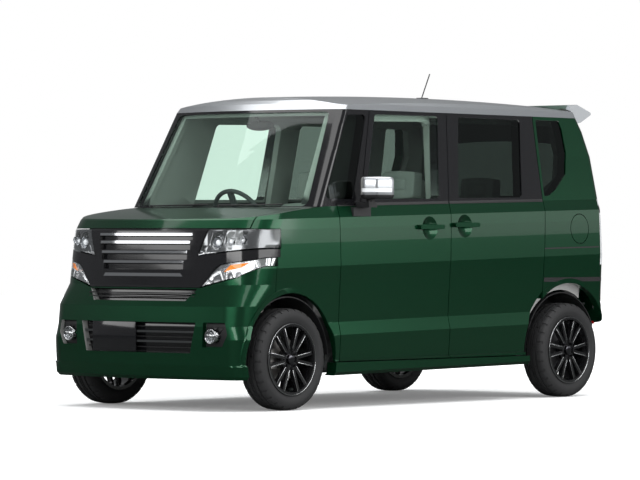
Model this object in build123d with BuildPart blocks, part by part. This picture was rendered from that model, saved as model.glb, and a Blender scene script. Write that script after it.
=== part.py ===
"""Tall five-door kei car: an exact solid model, one STEP file for each piece.

Frame: millimetres, +Z up, the nose towards -Y, the car's own left side at +X.
The origin is on the ground under the middle of the car's length and width.
"""

import os
from math import asin, cos, degrees, radians, sin, sqrt, tan

from build123d import *

# Driving dimensions
length = 3395.0
width = 1475.0
height = 1780.0
wheelbase = 2520.0
front_overhang = 490.0
track = 1305.0
tyre_radius = 281.0
tyre_width = 165.0
rim_radius = 201.0

# Places that follow from them
half_length = length / 2
half_width = width / 2
front_axle_y = front_overhang - half_length
rear_axle_y = front_axle_y + wheelbase
axle_z = tyre_radius
wheel_x = track / 2

# Gaps and wall thicknesses
panel_gap = 5.0
seat_gap = 0.4
glass_thickness = 5.0
wall_depth = 60.0
fender_thickness = 22.0
bumper_thickness = 40.0
roof_thickness = 34.0

# Side view lines of the panels
rear_bumper_top_z = 716.0
rail_z = 1672.0
front_arch_radius = 364.0
rear_arch_radius = 400.0

# Body sections from the ground up. At each height the body's outline is a plan view with a bowed
# nose and tail. The columns are: half width, height at the nose end, height at the tail end,
# nose y, nose bow radius, nose corner radius, tail y, tail corner radius.
lower_rows = [
    (718.0, 172.0, 216.0, -1668.0, 3400.0, 95.0, 1672.0, 50.0),
    (737.5, 190.0, 234.0, -1684.0, 3400.0, 110.0, 1692.0, 60.0),
    (737.5, 244.0, 285.0, -1692.0, 3400.0, 115.0, 1697.5, 60.0),
    (724.0, 252.0, 293.0, -1693.0, 3400.0, 118.0, 1697.5, 60.0),
    (734.0, 392.0, 456.0, -1697.5, 3400.0, 125.0, 1697.5, 60.0),
    (717.0, 463.0, 529.0, -1697.0, 3400.0, 135.0, 1694.0, 60.0),
    (722.0, 572.0, 640.0, -1691.0, 3200.0, 150.0, 1692.0, 60.0),
    (728.0, 688.0, 740.0, -1650.0, 2400.0, 215.0, 1690.0, 60.0),
    (735.0, 773.0, 856.0, -1650.0, 2200.0, 245.0, 1688.0, 60.0),
    (731.0, 905.0, 985.0, -1642.0, 2100.0, 255.0, 1684.0, 60.0),
    (728.0, 985.0, 1060.0, -1630.0, 2100.0, 258.0, 1682.0, 60.0),
    (724.0, 1041.0, 1125.0, -1590.0, 2100.0, 250.0, 1680.0, 60.0),
    (705.0, 1104.0, 1187.0, -1520.0, 2100.0, 240.0, 1677.0, 58.0),
]
upper_rows = [
    (705.0, 1104.0, 1187.0, -1105.0, 1980.0, 60.0, 1677.0, 58.0),
    (668.6, 1440.0, 1440.0, -921.0, 1980.0, 56.0, 1645.0, 56.0),
    (650.0, 1590.0, 1590.0, -836.0, 1980.0, 53.0, 1586.0, 55.0),
    (640.0, rail_z, rail_z, -789.0, 1980.0, 52.0, 1535.0, 55.0),
    (630.0, 1708.0, 1708.0, -762.0, 1900.0, 52.0, 1522.0, 55.0),
    (606.0, 1728.0, 1728.0, -722.0, 1900.0, 60.0, 1500.0, 60.0),
    (500.0, 1800.0, 1800.0, -480.0, 1900.0, 60.0, 1400.0, 60.0),
]
row_span = 1700.0

# Domed surfaces: crown radius across, curve radius along, y of the top, z of the top
roof_dome = (3700.0, 25000.0, 550.0, height)
hood_dome = (15000.0, 5200.0, -563.0, 1151.0)


def row_plane(row):
    """The slightly rising plane that one body outline lies on."""
    slope = (row[2] - row[1]) / (2 * row_span)
    return Plane(origin=(0, 0, (row[1] + row[2]) / 2), x_dir=(1, 0, 0), z_dir=(0, -slope, 1))


def row_outline(row, side=0.0, nose=0.0, tail=0.0):
    """One body outline, moved in by side, nose and tail."""
    half, z_nose, z_tail, nose_y, bow, nose_r, tail_y, tail_r = row
    stretch = sqrt(1 + ((z_tail - z_nose) / (2 * row_span)) ** 2)
    half -= side
    tail_bow = 12000.0
    nose_c = (nose_y + nose) * stretch
    tail_c = (tail_y - tail) * stretch
    nose_sag = bow - sqrt(bow**2 - half**2)
    tail_sag = tail_bow - sqrt(tail_bow**2 - half**2)
    with BuildSketch(row_plane(row)) as outline:
        with BuildLine():
            ThreePointArc((-half, nose_c + nose_sag), (0, nose_c), (half, nose_c + nose_sag))
            Line((half, nose_c + nose_sag), (half, tail_c - tail_sag))
            ThreePointArc((half, tail_c - tail_sag), (0, tail_c), (-half, tail_c - tail_sag))
            Line((-half, tail_c - tail_sag), (-half, nose_c + nose_sag))
        make_face()
        fillet(outline.vertices().sort_by(Axis.Y)[:2], max(nose_r - max(side, nose), 12))
        fillet(outline.vertices().sort_by(Axis.Y)[-2:], max(tail_r - max(side, tail), 12))
    return outline.sketch


def body_form(rows, side=0.0, nose=0.0, tail=0.0):
    """The closed form of the body between the first and the last row, moved in from its skin."""
    with BuildPart() as form:
        for row in rows:
            add(row_outline(row, side, nose, tail))
        loft(ruled=True)
    return form.part


def dome(sizes, drop=0.0):
    """Everything under a domed surface, lowered by drop."""
    across, along, top_y, top_z = sizes
    top_z -= drop
    reach, deep, sweep = 900.0, 1900.0, 2600.0
    edge_z = top_z - across + sqrt(across**2 - reach**2)
    turn = degrees(asin(sweep / along))
    with BuildPart() as under:
        with BuildSketch(Plane.XZ.offset(-top_y)):
            with BuildLine():
                ThreePointArc((-reach, edge_z), (0, top_z), (reach, edge_z))
                Line((reach, edge_z), (reach, edge_z - deep))
                Line((reach, edge_z - deep), (-reach, edge_z - deep))
                Line((-reach, edge_z - deep), (-reach, edge_z))
            make_face()
        axis = Axis((0, top_y, top_z - along), (1, 0, 0))
        revolve(axis=axis, revolution_arc=2 * turn)
    return under.part.rotate(axis, -turn)


def side_block(points, x_from, x_to, radius=0.0):
    """A side view outline of (y, z) points, from x_from to x_to, with its corners rounded."""
    with BuildPart() as block:
        with BuildSketch(Plane.YZ.offset(x_from)) as outline:
            with BuildLine():
                Polyline(*points, close=True)
            make_face()
            if radius:
                fillet(outline.vertices(), radius)
        extrude(amount=x_to - x_from)
    return block.part


def front_block(points, y_from, y_to, radius=0.0):
    """A front view outline of (x, z) points, from y_from to y_to, with its corners rounded."""
    with BuildPart() as block:
        with BuildSketch(Plane.XZ.offset(-y_from)) as outline:
            with BuildLine():
                Polyline(*points, close=True)
            make_face()
            if radius:
                fillet(outline.vertices(), radius)
        extrude(amount=y_from - y_to)
    return block.part


def slab(x_from, x_to, y_from, y_to, z_from, z_to):
    """A block between six planes."""
    with BuildPart() as block:
        with Locations(((x_from + x_to) / 2, (y_from + y_to) / 2, (z_from + z_to) / 2)):
            Box(x_to - x_from, y_to - y_from, z_to - z_from)
    return block.part


def arch(axle_y, radius, x_from=380.0, x_to=900.0):
    """The round space about a wheel."""
    with BuildPart() as space:
        with BuildSketch(Plane.YZ.offset(x_from)):
            with Locations((axle_y, axle_z)):
                Circle(radius)
        extrude(amount=x_to - x_from)
    return space.part


def both_sides(left):
    """A left piece and its mirror image."""
    with BuildPart() as pair:
        add(left)
        mirror(left, about=Plane.YZ)
    return pair.part


def right_of(left):
    """The mirror image of a left piece."""
    with BuildPart() as image:
        mirror(left, about=Plane.YZ)
    return image.part


pieces = {}


def keep(name, part):
    """Labels a finished piece for export."""
    part.label = name
    pieces[name] = part


# The forms that the panels are cut from
lower_skin = body_form(lower_rows)
upper_skin = body_form(upper_rows)
nose_top = dome(hood_dome)
roof_top = dome(roof_dome)
wall_seat = wall_depth + panel_gap
frame_depth = 40.0
inner_rows = [lower_rows[index] for index in (0, 1, 5, 8, 10, 12)]
lower_wall = body_form(inner_rows, wall_depth, wall_depth, wall_depth)
upper_wall = body_form(upper_rows, wall_depth, 26, wall_depth)
lower_seat = body_form(inner_rows, wall_seat, wall_seat, wall_seat)
upper_seat = body_form(upper_rows, wall_seat, 31, wall_seat)
lower_room = body_form(inner_rows, wall_seat + frame_depth, 140, wall_seat + frame_depth)
upper_room = body_form(upper_rows, wall_seat + frame_depth, 70, wall_seat + frame_depth)
bumper_seat = body_form(inner_rows, bumper_thickness, bumper_thickness, bumper_thickness)
fender_seat = body_form(inner_rows, fender_thickness, fender_thickness, fender_thickness)

# Side outlines as (y, z) points, from the middle of each gap
half_gap = panel_gap / 2
door_bottom_z = 262.0
belt_z = 1134.0
door_front_y = -804.0
sash_foot_y = -603.0
sash_top_y = -447.0
split_line = [(165.0, 200.0), (170.0, 780.0), (190.0, 1150.0), (243.0, rail_z)]
rear_line = [(1056.0, 200.0), (1056.0, 790.0), (1080.0, 1150.0), (1058.0, rail_z)]
door_reach = (400.0, 900.0)


def moved(points, step):
    """Points moved along Y."""
    return [(y + step, z) for y, z in points]


front_door_outline = (
    [(door_front_y + half_gap, door_bottom_z), (door_front_y + half_gap, belt_z - half_gap)]
    + [(sash_foot_y + half_gap, belt_z - half_gap), (sash_top_y + half_gap, rail_z - half_gap)]
    + moved([(243.0, rail_z - half_gap), (190.0, 1150.0), (170.0, 780.0), (165.0, door_bottom_z)], -half_gap)
)
sliding_door_outline = (
    moved([(165.0, door_bottom_z), (170.0, 780.0), (190.0, 1150.0), (243.0, rail_z - half_gap)], half_gap)
    + moved([(1058.0, rail_z - half_gap), (1080.0, 1150.0), (1056.0, 790.0)], -half_gap)
    + moved([(1056.0, door_bottom_z)], -half_gap)
)
front_door_space = side_block(front_door_outline, *door_reach)
flange_depth = 20.0
flange_width = 14.0
with BuildPart() as front_door_core:
    with BuildSketch(Plane.YZ.offset(door_reach[0])):
        with BuildLine():
            Polyline(*front_door_outline, close=True)
        make_face()
        offset(amount=-flange_width, kind=Kind.INTERSECTION)
    extrude(amount=door_reach[1] - door_reach[0])
sliding_door_space = side_block(sliding_door_outline, *door_reach)

front_window = [(-552.0, 1170.0), (-404.0, 1648.0), (162.0, 1652.0), (102.0, 1174.0)]
sliding_window = [(281.0, 1180.0), (352.0, 1650.0), (935.0, 1648.0), (880.0, 1189.0)]
triangle_window = [(-905.0, 1166.0), (-662.0, 1166.0), (-482.0, 1646.0), (-650.0, 1640.0)]
quarter_window = [
    (1098.0, 1196.0), (1150.0, 1204.0), (1222.0, 1240.0), (1330.0, 1330.0),
    (1358.0, 1460.0), (1338.0, 1600.0), (1312.0, 1652.0), (1086.0, 1652.0),
]
window_radius = 22.0
glass_inset = 6.0


glass_depth = glass_inset + glass_thickness
with BuildPart() as glass_layer:
    add(body_form(upper_rows, glass_inset, glass_inset, glass_inset))
    add(body_form(upper_rows, glass_depth, glass_depth, glass_depth), mode=Mode.SUBTRACT)


def glass_pane(outline, radius):
    """A pane that follows the side of the upper body, seated in its opening."""
    with BuildPart() as space:
        with BuildSketch(Plane.YZ.offset(door_reach[0])) as shape:
            with BuildLine():
                Polyline(*outline, close=True)
            make_face()
            fillet(shape.vertices(), radius)
            offset(amount=-seat_gap)
        extrude(amount=door_reach[1] - door_reach[0])
    with BuildPart() as pane:
        add(glass_layer.part)
        add(space.part, mode=Mode.INTERSECT)
    return pane.part


handle_height = 26.0
handle_z = 1013.0
sliding_handle_z = 1026.0
front_handle = (-120.0, 96.0)
sliding_handle = (197.0, 422.0)
cup_curve = 160.0
cup_depth = 14.0
cup_skin_x = 727.0


def grip(y_from, y_to, z):
    """A pull handle: a round-ended bar on two feet that reach into the door skin."""
    low, high = z - handle_height / 2, z + handle_height / 2
    ends = [(y_from, low), (y_to, low), (y_to, high), (y_from, high)]
    with BuildPart() as handle:
        add(side_block(ends, 741.0, 753.0, radius=handle_height / 2 - 0.5))
        for y in (y_from + 16, y_to - 16):
            add(slab(700.0, 746.0, y - 9, y + 9, z - 8, z + 8))
    return handle.part


def finger_cup(y, z):
    """The ball-shaped hollow behind a handle."""
    with BuildPart() as hollow:
        with Locations((cup_skin_x + cup_curve - cup_depth, y, z)):
            Sphere(cup_curve)
    return hollow.part


# Front doors
front_opening = side_block(front_window, *door_reach, radius=window_radius)
with BuildPart() as door_panel:
    add(lower_skin)
    add(upper_skin)
    add(body_form(lower_rows, flange_depth, flange_depth, flange_depth), mode=Mode.SUBTRACT)
    add(body_form(upper_rows, flange_depth, flange_depth, flange_depth), mode=Mode.SUBTRACT)
    add(front_door_space, mode=Mode.INTERSECT)
with BuildPart() as front_door_left:
    add(lower_skin)
    add(upper_skin)
    add(lower_wall, mode=Mode.SUBTRACT)
    add(upper_wall, mode=Mode.SUBTRACT)
    add(front_door_core.part, mode=Mode.INTERSECT)
    add(door_panel.part)
    add(front_opening, mode=Mode.SUBTRACT)
    add(finger_cup(sum(front_handle) / 2, handle_z), mode=Mode.SUBTRACT)
    add(grip(*front_handle, handle_z))
keep("front_door_left", front_door_left.part)
keep("front_door_right", right_of(front_door_left.part))

front_pane = glass_pane(front_window, window_radius)
keep("front_door_glass_left", front_pane)
keep("front_door_glass_right", right_of(front_pane))

# Sliding doors
rear_arch_clearance = arch(rear_axle_y, rear_arch_radius + 38)
sliding_opening = side_block(sliding_window, *door_reach, radius=window_radius)
with BuildPart() as sliding_door:
    add(lower_skin)
    add(upper_skin)
    add(lower_seat, mode=Mode.SUBTRACT)
    add(upper_seat, mode=Mode.SUBTRACT)
    add(sliding_door_space, mode=Mode.INTERSECT)
    add(sliding_opening, mode=Mode.SUBTRACT)
    add(rear_arch_clearance, mode=Mode.SUBTRACT)
    add(finger_cup(sum(sliding_handle) / 2, sliding_handle_z), mode=Mode.SUBTRACT)
    add(grip(*sliding_handle, sliding_handle_z))
keep("sliding_doors", both_sides(sliding_door.part))
keep("sliding_door_glass", both_sides(glass_pane(sliding_window, window_radius)))


# Windscreen frame: front pillars, header above the glass and frames of the fixed side windows
windscreen_half_foot = 648.0
windscreen_half_top = 571.0
windscreen_foot_z = 1124.0
windscreen_top_z = 1657.0
windscreen_outline = [
    (-windscreen_half_foot, windscreen_foot_z), (windscreen_half_foot, windscreen_foot_z),
    (windscreen_half_top, windscreen_top_z), (-windscreen_half_top, windscreen_top_z),
]
windscreen_radius = 30.0
sash_front = [
    (-1250.0, 1000.0), (-1250.0, rail_z - seat_gap), (sash_top_y - half_gap, rail_z - seat_gap),
    (sash_foot_y - half_gap, belt_z + half_gap), (door_front_y - half_gap, belt_z + half_gap),
    (door_front_y - half_gap, 1000.0),
]
frame_space = side_block(sash_front, -900.0, 900.0)
windscreen_opening = front_block(windscreen_outline, -1300.0, -560.0, radius=windscreen_radius)
triangle_opening = side_block(triangle_window, *door_reach, radius=window_radius)
triangle_openings = both_sides(triangle_opening)
with BuildPart() as windscreen_frame:
    add(upper_skin)
    add(upper_seat, mode=Mode.SUBTRACT)
    add(frame_space, mode=Mode.INTERSECT)
    add(windscreen_opening, mode=Mode.SUBTRACT)
    add(triangle_openings, mode=Mode.SUBTRACT)
keep("windscreen_frame", windscreen_frame.part)

with BuildPart() as screen_space:
    with BuildSketch(Plane.XZ.offset(1300)) as shape:
        with BuildLine():
            Polyline(*windscreen_outline, close=True)
        make_face()
        fillet(shape.vertices(), windscreen_radius)
        offset(amount=-seat_gap)
    extrude(amount=-740)
with BuildPart() as windscreen:
    add(glass_layer.part)
    add(screen_space.part, mode=Mode.INTERSECT)
keep("windscreen", windscreen.part)

# Hood, cowl and front fenders
hood_half = 657.0
hood_front_z = 1001.0
hood_rear_corner_y = -1006.0
hood_rear_middle_y = -1152.0
hood_thickness = 22.0
nose_under = dome(hood_dome, hood_thickness)


def plan_band(front_step, rear_step, half, z_from, z_to):
    """The upright space between two curves that follow the hood's rear edge."""
    with BuildPart() as band:
        with BuildSketch(Plane.XY.offset(z_from)):
            with BuildLine():
                corner, middle = hood_rear_corner_y, hood_rear_middle_y
                ThreePointArc(
                    (-half, corner + front_step), (0, middle + front_step), (half, corner + front_step)
                )
                Line((half, corner + front_step), (half, corner + rear_step))
                ThreePointArc(
                    (half, corner + rear_step), (0, middle + rear_step), (-half, corner + rear_step)
                )
                Line((-half, corner + rear_step), (-half, corner + front_step))
            make_face()
        extrude(amount=z_to - z_from)
    return band.part


hood_space = plan_band(-700.0, -half_gap, hood_half, hood_front_z, 1200.0)
with BuildPart() as nose_inner:
    add(fender_seat)
    add(nose_under, mode=Mode.INTERSECT)
with BuildPart() as hood:
    add(lower_skin)
    add(nose_top, mode=Mode.INTERSECT)
    add(nose_inner.part, mode=Mode.SUBTRACT)
    add(hood_space, mode=Mode.INTERSECT)
keep("hood", hood.part)

cowl_space = plan_band(-14.0, 95.0, hood_half, 1062.0, windscreen_foot_z - 8)
with BuildPart() as cowl:
    add(lower_skin)
    add(dome(hood_dome, hood_thickness + seat_gap), mode=Mode.INTERSECT)
    add(cowl_space, mode=Mode.INTERSECT)
keep("cowl", cowl.part)

lamp_rear_y = -1303.0
bumper_joint_y = -1344.0
fender_outline = [
    (bumper_joint_y + 1.5, 480.0), (bumper_joint_y + 1.5, 795.5), (bumper_joint_y + 11, 795.5),
    (bumper_joint_y + 11, 842.2), (lamp_rear_y - 8, 842.2), (lamp_rear_y - 8, 892.0),
    (lamp_rear_y, 892.0), (lamp_rear_y, 999.0), (-1600.0, 999.0), (-1600.0, 1200.0),
    (door_front_y - half_gap, 1200.0), (door_front_y - half_gap, door_bottom_z), (-900.0, door_bottom_z),
]
# Front lamps, grille and bumper are cut from one thick nose skin by outlines in front view
headlamp_outline = [(392.0, 852.0), (446.0, 997.0), (900.0, 997.0), (900.0, 893.0), (716.0, 893.0)]
lower_lamp_outline = [
    (421.0, 682.0), (508.0, 781.0), (536.0, 802.0), (681.0, 826.0), (722.0, 840.0), (900.0, 842.0),
    (900.0, 797.0), (722.0, 795.0), (628.0, 732.0),
]
grille_outline = [
    (0.0, 676.0), (415.0, 676.0), (506.0, 784.0), (535.0, 805.0), (680.0, 829.0), (721.0, 843.0),
    (900.0, 845.0), (900.0, 890.0), (722.0, 886.0), (388.0, 848.0), (366.0, 975.0), (0.0, 975.0),
]
bonnet_edge_outline = [(0.0, 975.0), (366.0, 975.0), (388.0, 850.0), (442.0, 998.0), (0.0, 998.0)]
lamp_space = front_block(headlamp_outline, -1800.0, lamp_rear_y - half_gap)
lower_lamp_space = front_block(lower_lamp_outline, -1800.0, bumper_joint_y + 9)
grille_space = front_block(grille_outline, -1800.0, lamp_rear_y - 10)
fender_space = side_block(fender_outline, hood_half + panel_gap, 900.0)
front_arch = arch(front_axle_y, front_arch_radius)
with BuildPart() as fender:
    add(lower_skin)
    add(nose_top, mode=Mode.INTERSECT)
    add(nose_inner.part, mode=Mode.SUBTRACT)
    add(fender_space, mode=Mode.INTERSECT)
    add(front_arch, mode=Mode.SUBTRACT)
    add(grille_space, mode=Mode.SUBTRACT)
    add(lower_lamp_space, mode=Mode.SUBTRACT)
keep("front_fenders", both_sides(fender.part))

with BuildPart() as nose_skin:
    add(lower_skin)
    add(nose_top, mode=Mode.INTERSECT)
    add(bumper_seat, mode=Mode.SUBTRACT)
    add(slab(-900, 900, -1800, lamp_rear_y, 150, 1100), mode=Mode.INTERSECT)
with BuildPart() as headlamp:
    add(nose_skin.part)
    add(lamp_space, mode=Mode.INTERSECT)
with BuildPart() as lower_lamp:
    add(nose_skin.part)
    add(lower_lamp_space, mode=Mode.INTERSECT)

fog_x = 537.0
fog_z = 411.0
fog_radius = 36.0
fog_recess_outline = [(474.0, 352.0), (480.0, 487.0), (618.0, 487.0), (634.0, 420.0), (600.0, 352.0)]
intake_outline = [(0.0, 318.0), (392.0, 318.0), (430.0, 486.0), (0.0, 486.0)]
slit_outline = [(0.0, 602.0), (346.0, 602.0), (402.0, 668.0), (0.0, 668.0)]
fog_recess = front_block(fog_recess_outline, -1800.0, -1400.0)
intake_opening = front_block(intake_outline, -1800.0, -1400.0)
slit_opening = front_block(slit_outline, -1800.0, -1400.0)
with BuildPart() as fog_lamp:
    with BuildSketch(Plane.XZ.offset(1668)):
        with Locations((fog_x, fog_z)):
            Circle(fog_radius)
    extrude(amount=-70)
with BuildPart() as front_lamp_set:
    add(headlamp.part)
    add(lower_lamp.part)
    add(fog_lamp.part)
keep("front_lamps", both_sides(front_lamp_set.part))

bumper_outline = [
    (0.0, 150.0), (900.0, 150.0), (900.0, 795.0), (723.0, 792.0), (629.0, 729.0), (420.0, 673.5),
    (0.0, 673.5),
]
bumper_space = front_block(bumper_outline, -1800.0, bumper_joint_y - 1.5)
with BuildPart() as bumper_opening:
    add(front_block(fog_recess_outline, -1800.0, -1340.0))
    add(body_form(inner_rows, 24, 24, 24), mode=Mode.SUBTRACT)
with BuildPart() as fog_hole:
    with BuildSketch(Plane.XZ.offset(1668)):
        with Locations((fog_x, fog_z)):
            Circle(fog_radius + seat_gap)
    extrude(amount=-100)
with BuildPart() as bumper_half:
    add(nose_skin.part)
    add(bumper_space, mode=Mode.INTERSECT)
    add(front_arch, mode=Mode.SUBTRACT)
    add(bumper_opening.part, mode=Mode.SUBTRACT)
    add(fog_hole.part, mode=Mode.SUBTRACT)
    add(intake_opening, mode=Mode.SUBTRACT)
    add(slit_opening, mode=Mode.SUBTRACT)
keep("front_bumper", both_sides(bumper_half.part))

edge_space = front_block(bonnet_edge_outline, -1800.0, -1400.0)
slot_depth = 18.0
slot_rows = [
    {"half": 352.0, "low": 936.0, "high": 958.0},
    {"half": 340.0, "low": 882.0, "high": 914.0},
    {"half": 322.0, "low": 828.0, "high": 860.0},
    {"half": 300.0, "low": 774.0, "high": 806.0},
]
with BuildPart() as grille_slots:
    for row in slot_rows:
        add(slab(-1, row["half"], -1800, -1400, row["low"], row["high"]))
    add(body_form(inner_rows, slot_depth, slot_depth, slot_depth), mode=Mode.SUBTRACT)
with BuildPart() as grille_half:
    add(nose_skin.part)
    add(grille_space, mode=Mode.INTERSECT)
    add(grille_slots.part, mode=Mode.SUBTRACT)
backing_outline = [(0.0, 296.0), (460.0, 296.0), (460.0, 500.0), (420.0, 690.0), (0.0, 690.0)]
backing_space = front_block(backing_outline, -1800.0, -1400.0)
backing_skin = body_form(inner_rows, bumper_thickness + seat_gap, bumper_thickness + seat_gap, 0)
backing_inner = body_form(inner_rows, bumper_thickness + 12, bumper_thickness + 12, 0)
with BuildPart() as backing_half:
    add(backing_skin)
    add(backing_inner, mode=Mode.SUBTRACT)
    add(backing_space, mode=Mode.INTERSECT)
with BuildPart() as bonnet_edge:
    add(nose_skin.part)
    add(edge_space, mode=Mode.INTERSECT)
with BuildPart() as grille_left:
    add(grille_half.part)
    add(backing_half.part)
    add(bonnet_edge.part)
keep("grille", both_sides(grille_left.part))

# Roof with its side strips
with BuildPart() as roof_under:
    add(body_form([upper_rows[index] for index in (0, 1, 2, 3, 6)], 45, 45, 45))
    add(dome(roof_dome, roof_thickness), mode=Mode.INTERSECT)
tailgate_half = 556.0
gate_notch = slab(-tailgate_half, tailgate_half, 1437.5, 1900.0, 1500.0, 1900.0)
with BuildPart() as roof:
    add(upper_skin)
    add(roof_top, mode=Mode.INTERSECT)
    add(roof_under.part, mode=Mode.SUBTRACT)
    add(slab(-900, 900, -1000, 1521, rail_z, 1900), mode=Mode.INTERSECT)
    add(gate_notch, mode=Mode.SUBTRACT)
keep("roof", roof.part)

# Quarter panels with their windows
lamp_front_y = 1614.0
lamp_foot_z = 791.0
lamp_top_z = 1186.0
quarter_space = side_block(
    moved([(1058.0, rail_z - seat_gap), (1080.0, 1150.0), (1056.0, 790.0)], half_gap)
    + [(1056.0 + half_gap, rear_bumper_top_z + seat_gap), (1800.0, rear_bumper_top_z + seat_gap)]
    + [(1800.0, rail_z - seat_gap)],
    tailgate_half + panel_gap, 900.0,
)
tail_lamp_space = slab(tailgate_half + panel_gap, 900, lamp_front_y, 1800, lamp_foot_z, lamp_top_z)
tail_lamp_hole = slab(
    tailgate_half, 900, lamp_front_y - seat_gap, 1800, lamp_foot_z - seat_gap, lamp_top_z + seat_gap
)
rear_arch = arch(rear_axle_y, rear_arch_radius)
quarter_opening = side_block(quarter_window, *door_reach, radius=12.0)
fuel_lid_y = 1411.0
fuel_lid_z = 1006.0
fuel_lid_radius = 86.0


def fuel_disc(radius, x_from, x_to):
    """A round block at the fuel filler."""
    with BuildPart() as disc:
        with BuildSketch(Plane.YZ.offset(x_from)):
            with Locations((fuel_lid_y, fuel_lid_z)):
                Circle(radius)
        extrude(amount=x_to - x_from)
    return disc.part


with BuildPart() as quarter_left:
    add(lower_skin)
    add(upper_skin)
    add(lower_seat, mode=Mode.SUBTRACT)
    add(upper_seat, mode=Mode.SUBTRACT)
    add(quarter_space, mode=Mode.INTERSECT)
    add(quarter_opening, mode=Mode.SUBTRACT)
    add(tail_lamp_hole, mode=Mode.SUBTRACT)
    add(rear_arch, mode=Mode.SUBTRACT)
fuel_pocket = fuel_disc(fuel_lid_radius + panel_gap, 690.0, 900.0)
with BuildPart() as quarters:
    add(quarter_left.part)
    mirror(quarter_left.part, about=Plane.YZ)
    add(fuel_pocket, mode=Mode.SUBTRACT)
keep("quarter_panels", quarters.part)
lid_seat = body_form(lower_rows, 14, 14, 14)
lid_space = fuel_disc(fuel_lid_radius, 500.0, 900.0)
with BuildPart() as fuel_lid:
    add(lower_skin)
    add(lid_seat, mode=Mode.SUBTRACT)
    add(lid_space, mode=Mode.INTERSECT)
    hinge_y = fuel_lid_y - fuel_lid_radius - panel_gap + seat_gap
    add(slab(714, 720, hinge_y, hinge_y + 12, fuel_lid_z - 5, fuel_lid_z + 5))
keep("fuel_lid", fuel_lid.part)
with BuildPart() as small_glass_left:
    add(glass_pane(triangle_window, window_radius))
    add(glass_pane(quarter_window, 12.0))
keep("fixed_side_glass", both_sides(small_glass_left.part))

with BuildPart() as tail_lamp:
    add(lower_skin)
    add(lower_seat, mode=Mode.SUBTRACT)
    add(tail_lamp_space, mode=Mode.INTERSECT)
keep("tail_lamps", both_sides(tail_lamp.part))

# Rear bumper
gate_foot_z = 560.0
rear_bumper_outline = [
    (1058.5, rear_bumper_top_z), (1058.5, 480.0), (1200.0, 150.0), (1800.0, 150.0),
    (1800.0, rear_bumper_top_z),
]
bumper_notch = slab(-tailgate_half - panel_gap, tailgate_half + panel_gap, 1500, 1800, gate_foot_z, 800)
with BuildPart() as rear_bumper:
    add(lower_skin)
    add(bumper_seat, mode=Mode.SUBTRACT)
    add(side_block(rear_bumper_outline, -900, 900), mode=Mode.INTERSECT)
    add(both_sides(rear_arch), mode=Mode.SUBTRACT)
    add(bumper_notch, mode=Mode.SUBTRACT)
keep("rear_bumper", rear_bumper.part)

# Tailgate, its glass and the spoiler over it
gate_top_y = 1442.5
gate_space = slab(-tailgate_half, tailgate_half, gate_top_y, 1800, gate_foot_z + panel_gap, 1800)
gate_window_outline = [(-510.0, 1210.0), (510.0, 1210.0), (490.0, 1600.0), (-490.0, 1600.0)]
gate_opening = front_block(gate_window_outline, 1500.0, 1800.0, radius=40.0)
gate_inner_top = dome(roof_dome, roof_thickness)
with BuildPart() as gate_inner:
    add(upper_wall)
    add(gate_inner_top, mode=Mode.INTERSECT)
with BuildPart() as tailgate:
    add(lower_skin)
    add(upper_skin)
    add(roof_top, mode=Mode.INTERSECT)
    add(lower_wall, mode=Mode.SUBTRACT)
    add(gate_inner.part, mode=Mode.SUBTRACT)
    add(gate_space, mode=Mode.INTERSECT)
    add(gate_opening, mode=Mode.SUBTRACT)
keep("tailgate", tailgate.part)
with BuildPart() as gate_glass_space:
    with BuildSketch(Plane.XZ.offset(-1500)) as shape:
        with BuildLine():
            Polyline(*gate_window_outline, close=True)
        make_face()
        fillet(shape.vertices(), 40)
        offset(amount=-seat_gap)
    extrude(amount=-300)
with BuildPart() as gate_glass:
    add(glass_layer.part)
    add(gate_glass_space.part, mode=Mode.INTERSECT)
keep("tailgate_glass", gate_glass.part)

spoiler_outline = [
    (1478.0, 1752.0), (1560.0, 1757.0), (1697.0, 1712.0), (1701.0, 1699.0), (1600.0, 1650.0),
    (1545.0, 1640.0), (1500.0, 1700.0),
]
spoiler_form = side_block(spoiler_outline, -596.0, 596.0)
spoiler_foot = side_block(spoiler_outline, -520.0, 520.0)
with BuildPart() as spoiler:
    add(spoiler_form)
    add(body_form(upper_rows, -panel_gap, -panel_gap, -panel_gap), mode=Mode.SUBTRACT)
    add(spoiler_foot)
    add(upper_skin, mode=Mode.SUBTRACT)
keep("rear_spoiler", spoiler.part)

# Side skirts
skirt_outline = [
    (door_front_y - 46, 180.0), (door_front_y - 46, 256.0), (930.0, 256.0), (930.0, 180.0),
]
skirt_space = side_block(skirt_outline, 640.0, 900.0)
with BuildPart() as skirt:
    add(lower_skin)
    add(lower_seat, mode=Mode.SUBTRACT)
    add(skirt_space, mode=Mode.INTERSECT)
    add(front_arch, mode=Mode.SUBTRACT)
    add(rear_arch, mode=Mode.SUBTRACT)
keep("side_skirts", both_sides(skirt.part))

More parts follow.
